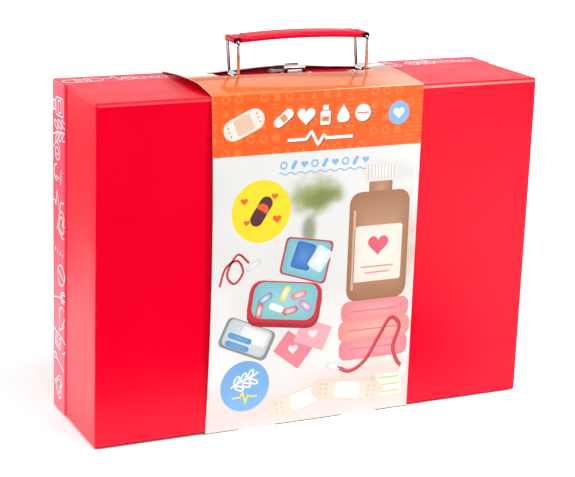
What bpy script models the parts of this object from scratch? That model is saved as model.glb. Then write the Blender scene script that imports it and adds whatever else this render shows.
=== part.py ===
"""Toy doctor case: a red cardboard suitcase with a wire handle, a small clasp and a card sleeve.

The case is two shallow boxes of paper-wrapped board that meet at a seam: a deep base in
front and a narrow lid behind it. A strip of cloth under the case is the hinge, so the lid
swings back and down. The base carries the handle and the clasp on its top wall.
A printed card sleeve goes round the middle. It parts at the seam, in a front half that
pulls off forwards and a back half that pulls off backwards.

Frame: metres, +X to the right of someone facing the case, +Y to the back, +Z up. The
origin is on the floor, under the middle of the case.
"""

import math

import bmesh
import bpy
from mathutils import Matrix, Vector

# Both boxes
CASE_WIDTH = 0.308
CASE_HEIGHT = 0.220
BASE_DEPTH = 0.0586
LID_DEPTH = 0.0246
BOARD = 0.002
EDGE_RADIUS = 0.002
SEAM_GAP = 0.0004

# Gap between pieces that touch, and how far a cut runs past what it cuts
CLEARANCE = 0.0003
OVERRUN = 0.002

# Inner sheets, and the neck that stands up inside the base and enters the lid
LINING = 0.0008
NECK_BOARD = 0.0012
NECK_PROUD = 0.004

# Cloth hinge, let into the underside on both sides of the seam
CLOTH = 0.0004
CLOTH_FLAP = 0.012
CLOTH_END_INSET = 0.008

# Card sleeve
CARD = 0.0005
SLEEVE_WIDTH = 0.1476
SLEEVE_OFFSET = -0.0059
SLEEVE_RISE = 0.0038
WINDOW_DEPTH = 0.018
WINDOW_BEHIND_SEAM = 0.0115
WINDOW_CORNER = 0.002
TAB_WIDTH = 0.026
TAB_SPACING = 0.0742

# The window in the sleeve runs this far past the handle's left and right foot
WINDOW_PAST_LEFT = 0.014
WINDOW_PAST_RIGHT = 0.003

# How far in front of the seam the sleeve's two halves meet, on top and underneath
TOP_PARTING = 0.0005
UNDERSIDE_PARTING = 0.0013

# Handle: two wire stirrups in riveted straps, and a moulded grip on top
HANDLE_X = 0.002
HANDLE_TO_SEAM = 0.0095
HANDLE_SPAN = 0.092
HANDLE_LEAN_DEGREES = -3
WIRE_RADIUS = 0.0011
WIRE_BEND = 0.0024
STIRRUP_HEIGHT = 0.0232
STIRRUP_FOOT_WIDTH = 0.0144
STIRRUP_TOP_WIDTH = 0.018
BAR_LIFT = 0.0017
STRAP = 0.0007
STRAP_WIDTH = 0.009
STRAP_FLANGE = 0.0065

# Grip
GRIP_WIDTH = 0.0146
GRIP_THICKNESS = 0.0027
GRIP_ARCH = 0.0022
GRIP_DROP = 0.002
ROLL_RADIUS = 0.0024
ROLL_BORE = 0.0015
PAD_RISE = 0.0018
PAD_LENGTH = 0.084
PAD_OFFSET = 0.0012
PAD_RAMP = 0.003
PAD_INSET = 0.0022

# Clasp
CLASP_X = 0.0005
CLASP_AXIS_TO_SEAM = 0.0057
CLASP_PIN_RADIUS = 0.0007
CLASP_PIN_STICKOUT = 0.0004
KNUCKLE_RADIUS = 0.0019
KNUCKLE_ROOM = 0.0005
KNUCKLE_WEB = 0.0012
EAR_WIDTH = 0.0022
LEVER_WIDTH = 0.010
LEVER_REACH = 0.0045
LEVER_SHEET = 0.0008
LEVER_LIP = 0.001
PLATE = 0.0006
PLATE_LENGTH = 0.0265
PLATE_DEPTH = 0.0111
PLATE_TO_SEAM = 0.0007
WING_DEPTH = 0.006
WING_TO_SEAM = 0.0085
CLASP_RIVET_SPACING = 0.0205

# Keeper on the lid, with a tongue that reaches over the seam under the lever
KEEPER_TO_SEAM = 0.0008
KEEPER_EDGE = 0.003
KEEPER_JOGGLE = 0.0012
TONGUE_LAP = 0.0042
TONGUE_WIDTH = 0.009
WASHER_ROOM = 0.0005

# Rivets and the washers they are clinched over
RIVET_RADIUS = 0.001
RIVET_HEAD_RADIUS = 0.002
RIVET_HEAD_HEIGHT = 0.0008
RIVET_TAIL_RADIUS = 0.0016
RIVET_TAIL = 0.0006
WASHER_RADIUS = 0.003
WASHER = 0.0005

# Steps on round pieces
ROUND_STEPS = 20
BEND_STEPS = 5
ARCH_STEPS = 16
EDGE_STEPS = 4
SMOOTH_BELOW_DEGREES = 40

# Places that follow from the sizes
CASE_DEPTH = BASE_DEPTH + LID_DEPTH
HALF_WIDTH = CASE_WIDTH / 2
FRONT = -CASE_DEPTH / 2
BACK = CASE_DEPTH / 2
SEAM = FRONT + BASE_DEPTH
FLOOR = CARD + CLEARANCE
TOP = FLOOR + CASE_HEIGHT
INNER_HALF_WIDTH = HALF_WIDTH - BOARD
INNER_FLOOR = FLOOR + BOARD
INNER_TOP = TOP - BOARD
SLEEVE_FACE = CASE_DEPTH / 2 + CLEARANCE + CARD
SLEEVE_LEFT = SLEEVE_OFFSET - SLEEVE_WIDTH / 2
SLEEVE_RIGHT = SLEEVE_OFFSET + SLEEVE_WIDTH / 2
CREASE = TOP + CLEARANCE + CARD
NECK_INNER_TOP = INNER_TOP - CLEARANCE - NECK_BOARD
HANDLE_Y = SEAM - HANDLE_TO_SEAM
BAR_HEIGHT = WIRE_RADIUS + BAR_LIFT
BAR_Z = TOP + BAR_HEIGHT
WINDOW_LEFT = HANDLE_X - HANDLE_SPAN / 2 - WINDOW_PAST_LEFT
WINDOW_RIGHT = HANDLE_X + HANDLE_SPAN / 2 + WINDOW_PAST_RIGHT
WINDOW_BACK = SEAM - TOP_PARTING
WINDOW_FRONT = WINDOW_BACK - WINDOW_DEPTH
TONGUE_UNDER = CLEARANCE + PLATE + CLEARANCE
TONGUE_TOP = TONGUE_UNDER + PLATE
CLASP_AXIS_Y = SEAM - CLASP_AXIS_TO_SEAM
CLASP_AXIS_HEIGHT = TONGUE_TOP + KNUCKLE_ROOM + KNUCKLE_RADIUS
CLASP_AXIS_Z = TOP + CLASP_AXIS_HEIGHT
PLATE_BACK = SEAM - PLATE_TO_SEAM
WING_Y = SEAM - WING_TO_SEAM
KEEPER_FRONT = SEAM + KEEPER_TO_SEAM
KEEPER_RIVET_Y = SEAM + NECK_PROUD + WASHER_RADIUS + WASHER_ROOM
KEEPER_BACK = KEEPER_RIVET_Y + KEEPER_EDGE
TONGUE_FRONT = SEAM - TONGUE_LAP

RED_PAPER = ("red_paper", (0.80, 0.006, 0.025, 1), 0.38, 0)
TEAL_PAPER = ("teal_paper", (0.30, 0.66, 0.68, 1), 0.6, 0)
RED_CLOTH = ("red_cloth", (0.55, 0.01, 0.03, 1), 0.85, 0)
RED_PLASTIC = ("red_plastic", (0.80, 0.008, 0.045, 1), 0.22, 0)
CHROME = ("chrome", (0.78, 0.78, 0.78, 1), 0.12, 1)
ZINC = ("zinc", (0.62, 0.62, 0.60, 1), 0.4, 1)
ORANGE_CARD = ("orange_card", (0.95, 0.14, 0.02, 1), 0.25, 0)


def clear_scene():
    for item in list(bpy.data.objects):
        bpy.data.objects.remove(item, do_unlink=True)


def material(look):
    """Return the Principled material of this look, made once."""
    name, colour, roughness, metallic = look
    found = bpy.data.materials.get(name)
    if found:
        return found
    made = bpy.data.materials.new(name)
    made.use_nodes = True
    shader = made.node_tree.nodes["Principled BSDF"]
    shader.inputs["Base Color"].default_value = colour
    shader.inputs["Roughness"].default_value = roughness
    shader.inputs["Metallic"].default_value = metallic
    return made


def add_object(name, mesh_builder, look=None, location=(0, 0, 0)):
    """Link a new object whose bmesh is handed over, with its material."""
    bmesh.ops.recalc_face_normals(mesh_builder, faces=mesh_builder.faces)
    mesh = bpy.data.meshes.new(name)
    mesh_builder.to_mesh(mesh)
    mesh_builder.free()
    made = bpy.data.objects.new(name, mesh)
    made.location = location
    bpy.context.collection.objects.link(made)
    if look:
        mesh.materials.append(material(look))
    return made


def shade_round(item):
    item.data.shade_smooth()
    item.data.set_sharp_from_angle(angle=math.radians(SMOOTH_BELOW_DEGREES))


def prism(points, axis, start, end):
    """Extrude a flat outline along an axis, 0, 1 or 2, from start to end.

    The outline's two numbers are the other two axes, in the order X, Y, Z.
    """
    others = [i for i in range(3) if i != axis]
    shape = bmesh.new()
    corners = []
    for point in points:
        place = [0, 0, 0]
        place[others[0]], place[others[1]] = point
        place[axis] = start
        corners.append(shape.verts.new(place))
    face = shape.faces.new(corners)
    pushed = bmesh.ops.extrude_face_region(shape, geom=[face])
    moved = [item for item in pushed["geom"] if isinstance(item, bmesh.types.BMVert)]
    shift = [0, 0, 0]
    shift[axis] = end - start
    bmesh.ops.translate(shape, verts=moved, vec=shift)
    return shape


def block(low, high):
    """A box from its lowest to its highest corner."""
    outline = [(low[0], low[1]), (high[0], low[1]), (high[0], high[1]), (low[0], high[1])]
    return prism(outline, 2, low[2], high[2])


def arc(centre, radius, start, end, steps):
    """Points on an arc between two angles in degrees, both ends included."""
    angles = [math.radians(start + (end - start) * i / steps) for i in range(steps + 1)]
    return [(centre[0] + radius * math.cos(a), centre[1] + radius * math.sin(a)) for a in angles]


def rod(radius, axis, start, end, centre):
    """A round bar along an axis, about a centre given on the other two axes."""
    circle = arc(centre, radius, 0, 360, ROUND_STEPS)[:-1]
    return prism(circle, axis, start, end)


def combine(item, operation, shape):
    """Cut a shape out of an object, or join it on, with a hidden helper object."""
    helper = add_object(f"{item.name}_{operation.lower()}", shape)
    helper.location = item.location
    helper.hide_render = True
    helper.display_type = "WIRE"
    change = item.modifiers.new(helper.name, "BOOLEAN")
    change.operation = operation
    change.object = helper
    change.solver = "EXACT"


def cut(item, shape):
    combine(item, "DIFFERENCE", shape)


def join(item, shape):
    combine(item, "UNION", shape)


def rivet_profile(surface, grip_length):
    """A rivet from the top down: a domed head over the surface, a shank and a clinched tail."""
    squash = RIVET_HEAD_HEIGHT / RIVET_HEAD_RADIUS
    head = arc((0, 0), RIVET_HEAD_RADIUS, 90, 0, BEND_STEPS)
    profile = [(0, surface + RIVET_HEAD_HEIGHT)]
    profile += [(radius, surface + height * squash) for radius, height in head[1:]]
    end = surface - grip_length
    profile += [(RIVET_RADIUS, surface), (RIVET_RADIUS, end), (RIVET_TAIL_RADIUS, end)]
    return profile + [(RIVET_TAIL_RADIUS, end - RIVET_TAIL), (0, end - RIVET_TAIL)]


def spin(profile, x, y):
    """Turn a profile of (radius, height) about the upright line at x, y.

    It closes at its poles, or on itself where it has none, as a washer does.
    """
    shape = bmesh.new()
    rings = []
    for radius, height in profile:
        if radius == 0:
            rings.append([shape.verts.new((x, y, height))])
        else:
            circle = arc((x, y), radius, 0, 360, ROUND_STEPS)[:-1]
            rings.append([shape.verts.new((px, py, height)) for px, py in circle])
    if len(rings[0]) > 1:
        rings.append(rings[0])
    for upper, lower in zip(rings, rings[1:]):
        for i in range(ROUND_STEPS):
            k = (i + 1) % ROUND_STEPS
            if len(upper) == 1:
                shape.faces.new((upper[0], lower[i], lower[k]))
            elif len(lower) == 1:
                shape.faces.new((upper[i], lower[0], upper[k]))
            else:
                shape.faces.new((upper[i], lower[i], lower[k], upper[k]))
    return shape


def riveting(name, places, surface, seat):
    """A rivet at each place, from the plate's surface to the seat, clinched over a washer there."""
    washer_top = seat - CLEARANCE
    washer_foot = washer_top - WASHER
    hole = RIVET_RADIUS + CLEARANCE
    rivet = rivet_profile(surface, surface - washer_foot + CLEARANCE)
    washer = [(hole, washer_top), (WASHER_RADIUS, washer_top)]
    washer += [(WASHER_RADIUS, washer_foot), (hole, washer_foot)]
    for number, (x, y) in enumerate(places, 1):
        shade_round(add_object(f"{name}_rivet_{number}", spin(rivet, x, y), CHROME))
        shade_round(add_object(f"{name}_washer_{number}", spin(washer, x, y), ZINC))


def drill(item, places, bottom, top):
    """Drill the clearance holes of rivets straight down through an object."""
    for place in places:
        cut(item, rod(RIVET_RADIUS + CLEARANCE, 2, bottom, top, place))


def rounded_box(low, high, rim):
    """A box with round edges, except round its rim, the y where it meets the other box."""
    shape = block(low, high)
    free = [e for e in shape.edges if any(abs(v.co.y - rim) > CLEARANCE for v in e.verts)]
    bmesh.ops.bevel(
        shape, geom=free, offset=EDGE_RADIUS, segments=EDGE_STEPS, profile=0.5, affect="EDGES"
    )
    return shape


def strap_feet():
    """The x of the two bracket straps, at the feet of the stirrups."""
    return HANDLE_X - HANDLE_SPAN / 2, HANDLE_X + HANDLE_SPAN / 2


def strap_rivet_places():
    reach = WIRE_RADIUS + CLEARANCE + STRAP + STRAP_FLANGE / 2
    return [(foot + side * reach, HANDLE_Y) for foot in strap_feet() for side in (-1, 1)]


def clasp_rivet_places(y):
    return [(CLASP_X + side * CLASP_RIVET_SPACING / 2, y) for side in (-1, 1)]


def cloth_rebate(item, near, far):
    """Let the cloth into the underside of a box, from the seam to the flap's edge."""
    end = HALF_WIDTH - CLOTH_END_INSET + CLEARANCE
    low = (-end, min(near, far), FLOOR - OVERRUN)
    high = (end, max(near, far), FLOOR + CLOTH + CLEARANCE)
    cut(item, block(low, high))


def cloth_flap(name, near, far):
    end = HALF_WIDTH - CLOTH_END_INSET
    low = (-end, min(near, far), FLOOR)
    high = (end, max(near, far), FLOOR + CLOTH)
    add_object(name, block(low, high), RED_CLOTH)


def hang_on_axis(name, place, names):
    """Parent pieces, where they are, to an empty that lies on their joint's axis."""
    axis = bpy.data.objects.new(name, None)
    axis.location = place
    bpy.context.collection.objects.link(axis)
    for piece in names:
        bpy.data.objects[piece].parent = axis
        bpy.data.objects[piece].matrix_parent_inverse = Matrix.Translation(place).inverted()


def build_base():
    rim = SEAM - SEAM_GAP / 2
    low = (-HALF_WIDTH, FRONT, FLOOR)
    high = (HALF_WIDTH, rim, TOP)
    shell = add_object("base_shell", rounded_box(low, high, rim), RED_PAPER)
    hollow_low = (-INNER_HALF_WIDTH, FRONT + BOARD, INNER_FLOOR)
    cut(shell, block(hollow_low, (INNER_HALF_WIDTH, rim + OVERRUN, INNER_TOP)))
    cloth_rebate(shell, rim + OVERRUN, SEAM - CLOTH_FLAP - CLEARANCE)
    places = strap_rivet_places() + clasp_rivet_places(WING_Y)
    drill(shell, places, INNER_TOP - OVERRUN, TOP + OVERRUN)
    shade_round(shell)
    cloth_flap("hinge_cloth_base_flap", SEAM - SEAM_GAP / 2, SEAM - CLOTH_FLAP)


def build_base_inside():
    """The sheet behind the front panel, and the board neck that stands on it."""
    half = INNER_HALF_WIDTH - CLEARANCE
    low_z = INNER_FLOOR + CLEARANCE
    high_z = INNER_TOP - CLEARANCE
    sheet = FRONT + BOARD + CLEARANCE
    sheet_back = sheet + LINING
    add_object("base_lining_sheet", block((-half, sheet, low_z), (half, sheet_back, high_z)), TEAL_PAPER)
    front = sheet_back + CLEARANCE
    back = SEAM + NECK_PROUD
    neck = add_object("base_neck", block((-half, front, low_z), (half, back, high_z)), TEAL_PAPER)
    inner = half - NECK_BOARD
    hollow_low = (-inner, front - OVERRUN, low_z + NECK_BOARD)
    cut(neck, block(hollow_low, (inner, back + OVERRUN, high_z - NECK_BOARD)))
    places = strap_rivet_places() + clasp_rivet_places(WING_Y)
    drill(neck, places, NECK_INNER_TOP - OVERRUN, INNER_TOP + OVERRUN)


def build_lid():
    rim = SEAM + SEAM_GAP / 2
    low = (-HALF_WIDTH, rim, FLOOR)
    high = (HALF_WIDTH, BACK, TOP)
    shell = add_object("lid_shell", rounded_box(low, high, rim), RED_PAPER)
    hollow_low = (-INNER_HALF_WIDTH, rim - OVERRUN, INNER_FLOOR)
    cut(shell, block(hollow_low, (INNER_HALF_WIDTH, BACK - BOARD, INNER_TOP)))
    cloth_rebate(shell, rim - OVERRUN, SEAM + CLOTH_FLAP + CLEARANCE)
    drill(shell, clasp_rivet_places(KEEPER_RIVET_Y), INNER_TOP - OVERRUN, TOP + OVERRUN)
    shade_round(shell)
    cloth_flap("hinge_cloth_lid_flap", SEAM + SEAM_GAP / 2, SEAM + CLOTH_FLAP)
    half = INNER_HALF_WIDTH - CLEARANCE
    sheet = BACK - BOARD - CLEARANCE - LINING
    sheet_low = (-half, sheet, INNER_FLOOR + CLEARANCE)
    sheet_high = (half, sheet + LINING, INNER_TOP - CLEARANCE)
    add_object("lid_lining_sheet", block(sheet_low, sheet_high), TEAL_PAPER)


def sleeve_height(y):
    """Outer height of the sleeve's top, bowed up between its two creases as a parabola."""
    share = y / SLEEVE_FACE
    return CREASE + SLEEVE_RISE * (1 - share * share)


def sleeve_top_points(start, end):
    """Outer points of the bowed top from one y to another."""
    steps = [start + (end - start) * i / ARCH_STEPS for i in range(ARCH_STEPS + 1)]
    return [(y, sleeve_height(y)) for y in steps]


def tab_centres():
    return SLEEVE_OFFSET - TAB_SPACING / 2, SLEEVE_OFFSET + TAB_SPACING / 2


def build_sleeve_front_panel():
    """The front panel, up to its crease. Its lower edge stops over the underside, but for two tabs."""
    back = -SLEEVE_FACE + CARD
    low = (SLEEVE_LEFT, -SLEEVE_FACE, 0)
    high = (SLEEVE_RIGHT, back, CREASE - CARD - CLEARANCE)
    panel = add_object("sleeve_front_panel", block(low, high), ORANGE_CARD)
    edges = [SLEEVE_LEFT - OVERRUN]
    for centre in tab_centres():
        edges += [centre - TAB_WIDTH / 2, centre + TAB_WIDTH / 2]
    edges.append(SLEEVE_RIGHT + OVERRUN)
    for start, end in zip(edges[::2], edges[1::2]):
        notch_low = (start, -SLEEVE_FACE - OVERRUN, -OVERRUN)
        cut(panel, block(notch_low, (end, back + OVERRUN, CARD + CLEARANCE + CLEARANCE)))


def build_sleeve_top():
    """The bowed top, with the front part of the window for the handle and the clasp."""
    outer = sleeve_top_points(-SLEEVE_FACE, WINDOW_BACK)
    inner = [(y, z - CARD) for y, z in outer]
    outline = outer + inner[::-1]
    sleeve = add_object("sleeve_top", prism(outline, 0, SLEEVE_LEFT, SLEEVE_RIGHT), ORANGE_CARD)
    corner = WINDOW_CORNER
    left = arc((WINDOW_LEFT + corner, WINDOW_FRONT + corner), corner, 180, 270, BEND_STEPS)
    right = arc((WINDOW_RIGHT - corner, WINDOW_FRONT + corner), corner, 270, 360, BEND_STEPS)
    rear = WINDOW_BACK + OVERRUN
    window = left + right + [(WINDOW_RIGHT, rear), (WINDOW_LEFT, rear)]
    cut(sleeve, prism(window, 2, TOP - OVERRUN, CREASE + SLEEVE_RISE + OVERRUN))


def build_sleeve_underside():
    """The front half's underside, notched where the lock tabs of the front panel come down."""
    back = SEAM - UNDERSIDE_PARTING
    low = (SLEEVE_LEFT, -SLEEVE_FACE, 0)
    underside = add_object("sleeve_underside", block(low, (SLEEVE_RIGHT, back, CARD)), ORANGE_CARD)
    for centre in tab_centres():
        reach = TAB_WIDTH / 2 + CLEARANCE
        notch_low = (centre - reach, -SLEEVE_FACE - OVERRUN, -OVERRUN)
        notch_high = (centre + reach, -SLEEVE_FACE + CARD + CLEARANCE, CARD + OVERRUN)
        cut(underside, block(notch_low, notch_high))


def build_sleeve_back():
    """Back half of the sleeve: the back of the window, the back panel and its foot."""
    front = WINDOW_BACK + SEAM_GAP
    outer = sleeve_top_points(front, SLEEVE_FACE)
    inner = [(y, z - CARD) for y, z in sleeve_top_points(front, SLEEVE_FACE - CARD)]
    foot = SEAM + SEAM_GAP
    outline = outer + [(SLEEVE_FACE, 0), (foot, 0), (foot, CARD), (SLEEVE_FACE - CARD, CARD)]
    outline += inner[::-1]
    sleeve = add_object("sleeve_back", prism(outline, 0, SLEEVE_LEFT, SLEEVE_RIGHT), ORANGE_CARD)
    corner = WINDOW_CORNER
    rear = SEAM + WINDOW_BEHIND_SEAM - corner
    right = arc((WINDOW_RIGHT - corner, rear), corner, 0, 90, BEND_STEPS)
    left = arc((WINDOW_LEFT + corner, rear), corner, 90, 180, BEND_STEPS)
    window = right + left + [(WINDOW_LEFT, front - OVERRUN), (WINDOW_RIGHT, front - OVERRUN)]
    cut(sleeve, prism(window, 2, TOP - OVERRUN, CREASE + SLEEVE_RISE + OVERRUN))


def strap_outline():
    """A strap seen along the wire: two flanges and an arch over the wire, about the wire's axis."""
    inner = WIRE_RADIUS + CLEARANCE
    outer = inner + STRAP
    end = outer + STRAP_FLANGE
    under = CLEARANCE - BAR_HEIGHT
    over = under + STRAP
    outline = [(end, under), (end, over)]
    outline += [(outer, over)] + arc((0, 0), outer, 0, 180, ROUND_STEPS // 2) + [(-outer, over)]
    outline += [(-end, over), (-end, under), (-inner, under)]
    outline += arc((0, 0), inner, 180, 0, ROUND_STEPS // 2) + [(inner, under)]
    return outline


def build_brackets():
    half = STRAP_WIDTH / 2
    reach = WIRE_RADIUS + CLEARANCE + STRAP + STRAP_FLANGE / 2
    for name, foot in zip(("handle_bracket_left", "handle_bracket_right"), strap_feet()):
        strap = add_object(name, prism(strap_outline(), 1, -half, half), CHROME, (foot, HANDLE_Y, BAR_Z))
        drill(strap, [(-reach, 0), (reach, 0)], -BAR_HEIGHT - OVERRUN, OVERRUN)
        shade_round(strap)
    surface = TOP + CLEARANCE + STRAP + CLEARANCE
    riveting("bracket", strap_rivet_places(), surface, NECK_INNER_TOP)


def stirrup_path():
    """The stirrup's centre line in Y and Z about its foot bar, with round corners."""
    foot = STIRRUP_FOOT_WIDTH / 2
    top = STIRRUP_TOP_WIDTH / 2
    corners = [Vector((-foot, 0)), Vector((foot, 0)), Vector((top, STIRRUP_HEIGHT))]
    corners.append(Vector((-top, STIRRUP_HEIGHT)))
    path = []
    for i, corner in enumerate(corners):
        before = (corners[i - 1] - corner).normalized()
        after = (corners[(i + 1) % len(corners)] - corner).normalized()
        half_angle = before.angle(after) / 2
        centre = corner + (before + after).normalized() * WIRE_BEND / math.sin(half_angle)
        start = corner + before * WIRE_BEND / math.tan(half_angle) - centre
        turn = start.angle_signed(corner + after * WIRE_BEND / math.tan(half_angle) - centre)
        for step in range(BEND_STEPS + 1):
            path.append(centre + Matrix.Rotation(-turn * step / BEND_STEPS, 2) @ start)
    return path


def build_stirrups():
    path = stirrup_path()
    for name, foot in zip(("stirrup_left", "stirrup_right"), strap_feet()):
        curve = bpy.data.curves.new(name, "CURVE")
        curve.dimensions = "3D"
        curve.bevel_depth = WIRE_RADIUS
        curve.bevel_resolution = 3
        line = curve.splines.new("POLY")
        line.points.add(len(path) - 1)
        for point, place in zip(line.points, path):
            point.co = (0, place.x, place.y, 1)
        line.use_cyclic_u = True
        curve.materials.append(material(CHROME))
        stirrup = bpy.data.objects.new(name, curve)
        stirrup.location = (foot, HANDLE_Y, BAR_Z)
        stirrup.rotation_euler.y = math.radians(HANDLE_LEAN_DEGREES)
        bpy.context.collection.objects.link(stirrup)


def grip_band(thickness, low, left, right, ramp):
    """Side outline of an arched band between two x, from low upwards, with ramped ends."""
    def rise(x):
        share = 2 * x / HANDLE_SPAN
        return GRIP_ARCH * (1 - share * share)
    upper = [left + ramp + (right - left - ramp - ramp) * i / ARCH_STEPS for i in range(ARCH_STEPS + 1)]
    lower = [left + (right - left) * i / ARCH_STEPS for i in range(ARCH_STEPS + 1)]
    outline = [(x, low + thickness + rise(x)) for x in upper]
    return outline + [(x, low + rise(x)) for x in lower[::-1]]


def build_grip():
    """The grip: an arched band between two rolls round the wires, with a raised pad."""
    lean = math.radians(HANDLE_LEAN_DEGREES)
    place = (
        HANDLE_X + STIRRUP_HEIGHT * math.sin(lean),
        HANDLE_Y,
        BAR_Z + STIRRUP_HEIGHT * math.cos(lean),
    )
    half = GRIP_WIDTH / 2
    end = HANDLE_SPAN / 2
    band = grip_band(GRIP_THICKNESS, -GRIP_DROP, -end, end, 0)
    grip = add_object("grip", prism(band, 1, -half, half), RED_PLASTIC, place)
    for side in (-end, end):
        join(grip, rod(ROLL_RADIUS, 1, -half, half, (side, 0)))
    pad_left = PAD_OFFSET - PAD_LENGTH / 2
    pad_low = GRIP_THICKNESS - GRIP_DROP - CLEARANCE
    pad = grip_band(PAD_RISE + CLEARANCE, pad_low, pad_left, pad_left + PAD_LENGTH, PAD_RAMP)
    join(grip, prism(pad, 1, -half + PAD_INSET, half - PAD_INSET))
    for side in (-end, end):
        cut(grip, rod(ROLL_BORE, 1, -half - OVERRUN, half + OVERRUN, (side, 0)))
    shade_round(grip)


def ear_outline():
    """A knuckle with its web down to the plate, in Y and Z about the pin."""
    drop = CLASP_AXIS_HEIGHT - CLEARANCE - PLATE / 2
    web_back = KNUCKLE_WEB - KNUCKLE_RADIUS
    meet = -180 + math.degrees(math.acos((KNUCKLE_RADIUS - KNUCKLE_WEB) / KNUCKLE_RADIUS))
    ring = arc((0, 0), KNUCKLE_RADIUS, 180, meet, ROUND_STEPS)
    return [(-KNUCKLE_RADIUS, -drop)] + ring + [(web_back, -drop)]


def lever_outline():
    """The lever seen from its side: its knuckle, its sheet, the thumb lip and the hook."""
    under = KNUCKLE_RADIUS - LEVER_SHEET
    start = math.sqrt(KNUCKLE_RADIUS**2 - under**2)
    inside = LEVER_REACH - LEVER_SHEET
    hook = TONGUE_TOP + CLEARANCE - CLASP_AXIS_HEIGHT
    outline = [(inside, KNUCKLE_RADIUS), (inside, KNUCKLE_RADIUS + LEVER_LIP)]
    outline += [(LEVER_REACH, KNUCKLE_RADIUS + LEVER_LIP), (LEVER_REACH, hook), (inside, hook)]
    outline += [(inside, under)]
    first = math.degrees(math.atan2(under, start))
    return outline + arc((0, 0), KNUCKLE_RADIUS, first, -270, ROUND_STEPS)


def stadium(centre_y, depth, length):
    """A plate outline in X and Y with two round ends, about the clasp's centre."""
    radius = depth / 2
    reach = length / 2 - radius
    right = arc((CLASP_X + reach, centre_y), radius, -90, 90, ROUND_STEPS // 2)
    return right + arc((CLASP_X - reach, centre_y), radius, 90, 270, ROUND_STEPS // 2)


def build_clasp_plate():
    low = TOP + CLEARANCE
    high = low + PLATE
    ear_inner = LEVER_WIDTH / 2 + CLEARANCE
    ear_outer = ear_inner + EAR_WIDTH
    plate = add_object("clasp_plate", prism(stadium(WING_Y, WING_DEPTH, PLATE_LENGTH), 2, low, high), CHROME)
    middle_low = (CLASP_X - ear_outer, PLATE_BACK - PLATE_DEPTH, low)
    join(plate, block(middle_low, (CLASP_X + ear_outer, PLATE_BACK, high)))
    outline = [(CLASP_AXIS_Y + y, CLASP_AXIS_Z + z) for y, z in ear_outline()]
    for start, end in ((-ear_outer, -ear_inner), (ear_inner, ear_outer)):
        join(plate, prism(outline, 0, CLASP_X + start, CLASP_X + end))
    bore = CLASP_PIN_RADIUS + CLEARANCE
    reach = ear_outer + OVERRUN
    cut(plate, rod(bore, 0, CLASP_X - reach, CLASP_X + reach, (CLASP_AXIS_Y, CLASP_AXIS_Z)))
    drill(plate, clasp_rivet_places(WING_Y), low - OVERRUN, high + OVERRUN)
    shade_round(plate)
    pin_reach = ear_outer + CLASP_PIN_STICKOUT
    centre = (CLASP_AXIS_Y, CLASP_AXIS_Z)
    pin = rod(CLASP_PIN_RADIUS, 0, CLASP_X - pin_reach, CLASP_X + pin_reach, centre)
    shade_round(add_object("clasp_pin", pin, CHROME))
    riveting("clasp", clasp_rivet_places(WING_Y), high + CLEARANCE, NECK_INNER_TOP)


def build_clasp_lever():
    half = LEVER_WIDTH / 2
    place = (CLASP_X, CLASP_AXIS_Y, CLASP_AXIS_Z)
    lever = add_object("clasp_lever", prism(lever_outline(), 0, -half, half), CHROME, place)
    cut(lever, rod(CLASP_PIN_RADIUS + CLEARANCE, 0, -half - OVERRUN, half + OVERRUN, (0, 0)))
    shade_round(lever)


def build_keeper():
    """The lid's plate, bent up in front into a tongue that passes over the seam."""
    low = TOP + CLEARANCE
    high = low + PLATE
    depth = KEEPER_BACK - KEEPER_FRONT - KEEPER_JOGGLE
    centre_y = KEEPER_BACK - depth / 2
    outline = stadium(centre_y, depth, PLATE_LENGTH)
    keeper = add_object("keeper_plate", prism(outline, 2, low, high), CHROME)
    bend = KEEPER_FRONT + KEEPER_JOGGLE
    tongue = [(TONGUE_FRONT, TONGUE_UNDER), (KEEPER_FRONT, TONGUE_UNDER), (bend, CLEARANCE)]
    tongue += [(centre_y, CLEARANCE), (centre_y, CLEARANCE + PLATE)]
    tongue += [(bend + PLATE / 2, CLEARANCE + PLATE), (KEEPER_FRONT + PLATE / 2, TONGUE_TOP)]
    tongue += [(TONGUE_FRONT, TONGUE_TOP)]
    tongue = [(y, TOP + z) for y, z in tongue]
    half = TONGUE_WIDTH / 2
    join(keeper, prism(tongue, 0, CLASP_X - half, CLASP_X + half))
    drill(keeper, clasp_rivet_places(KEEPER_RIVET_Y), low - OVERRUN, high + OVERRUN)
    shade_round(keeper)
    riveting("keeper", clasp_rivet_places(KEEPER_RIVET_Y), high + CLEARANCE, INNER_TOP)


def main():
    clear_scene()
    build_base()
    build_base_inside()
    build_lid()
    build_sleeve_front_panel()
    build_sleeve_top()
    build_sleeve_underside()
    build_sleeve_back()
    build_brackets()
    build_stirrups()
    build_grip()
    build_clasp_plate()
    build_clasp_lever()
    build_keeper()
    kinds = [f"keeper_{kind}_{number}" for kind in ("rivet", "washer") for number in (1, 2)]
    lid = ["lid_shell", "lid_lining_sheet", "hinge_cloth_lid_flap", "sleeve_back", "keeper_plate"]
    hang_on_axis("lid_hinge_axis", Vector((0, SEAM, FLOOR)), lid + kinds)


main()
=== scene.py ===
"""Looks of the toy doctor case: a red paper-wrapped suitcase with a printed card sleeve.

The frame's axes: +X to the right of someone facing the sleeve's front, +Y to the lid at the
back, +Z up, in metres. A print is flat ink that lies on the card or paper that carries it.
"""
import math

import bmesh
import bpy
import numpy as np
from mathutils import Matrix, Vector


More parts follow.
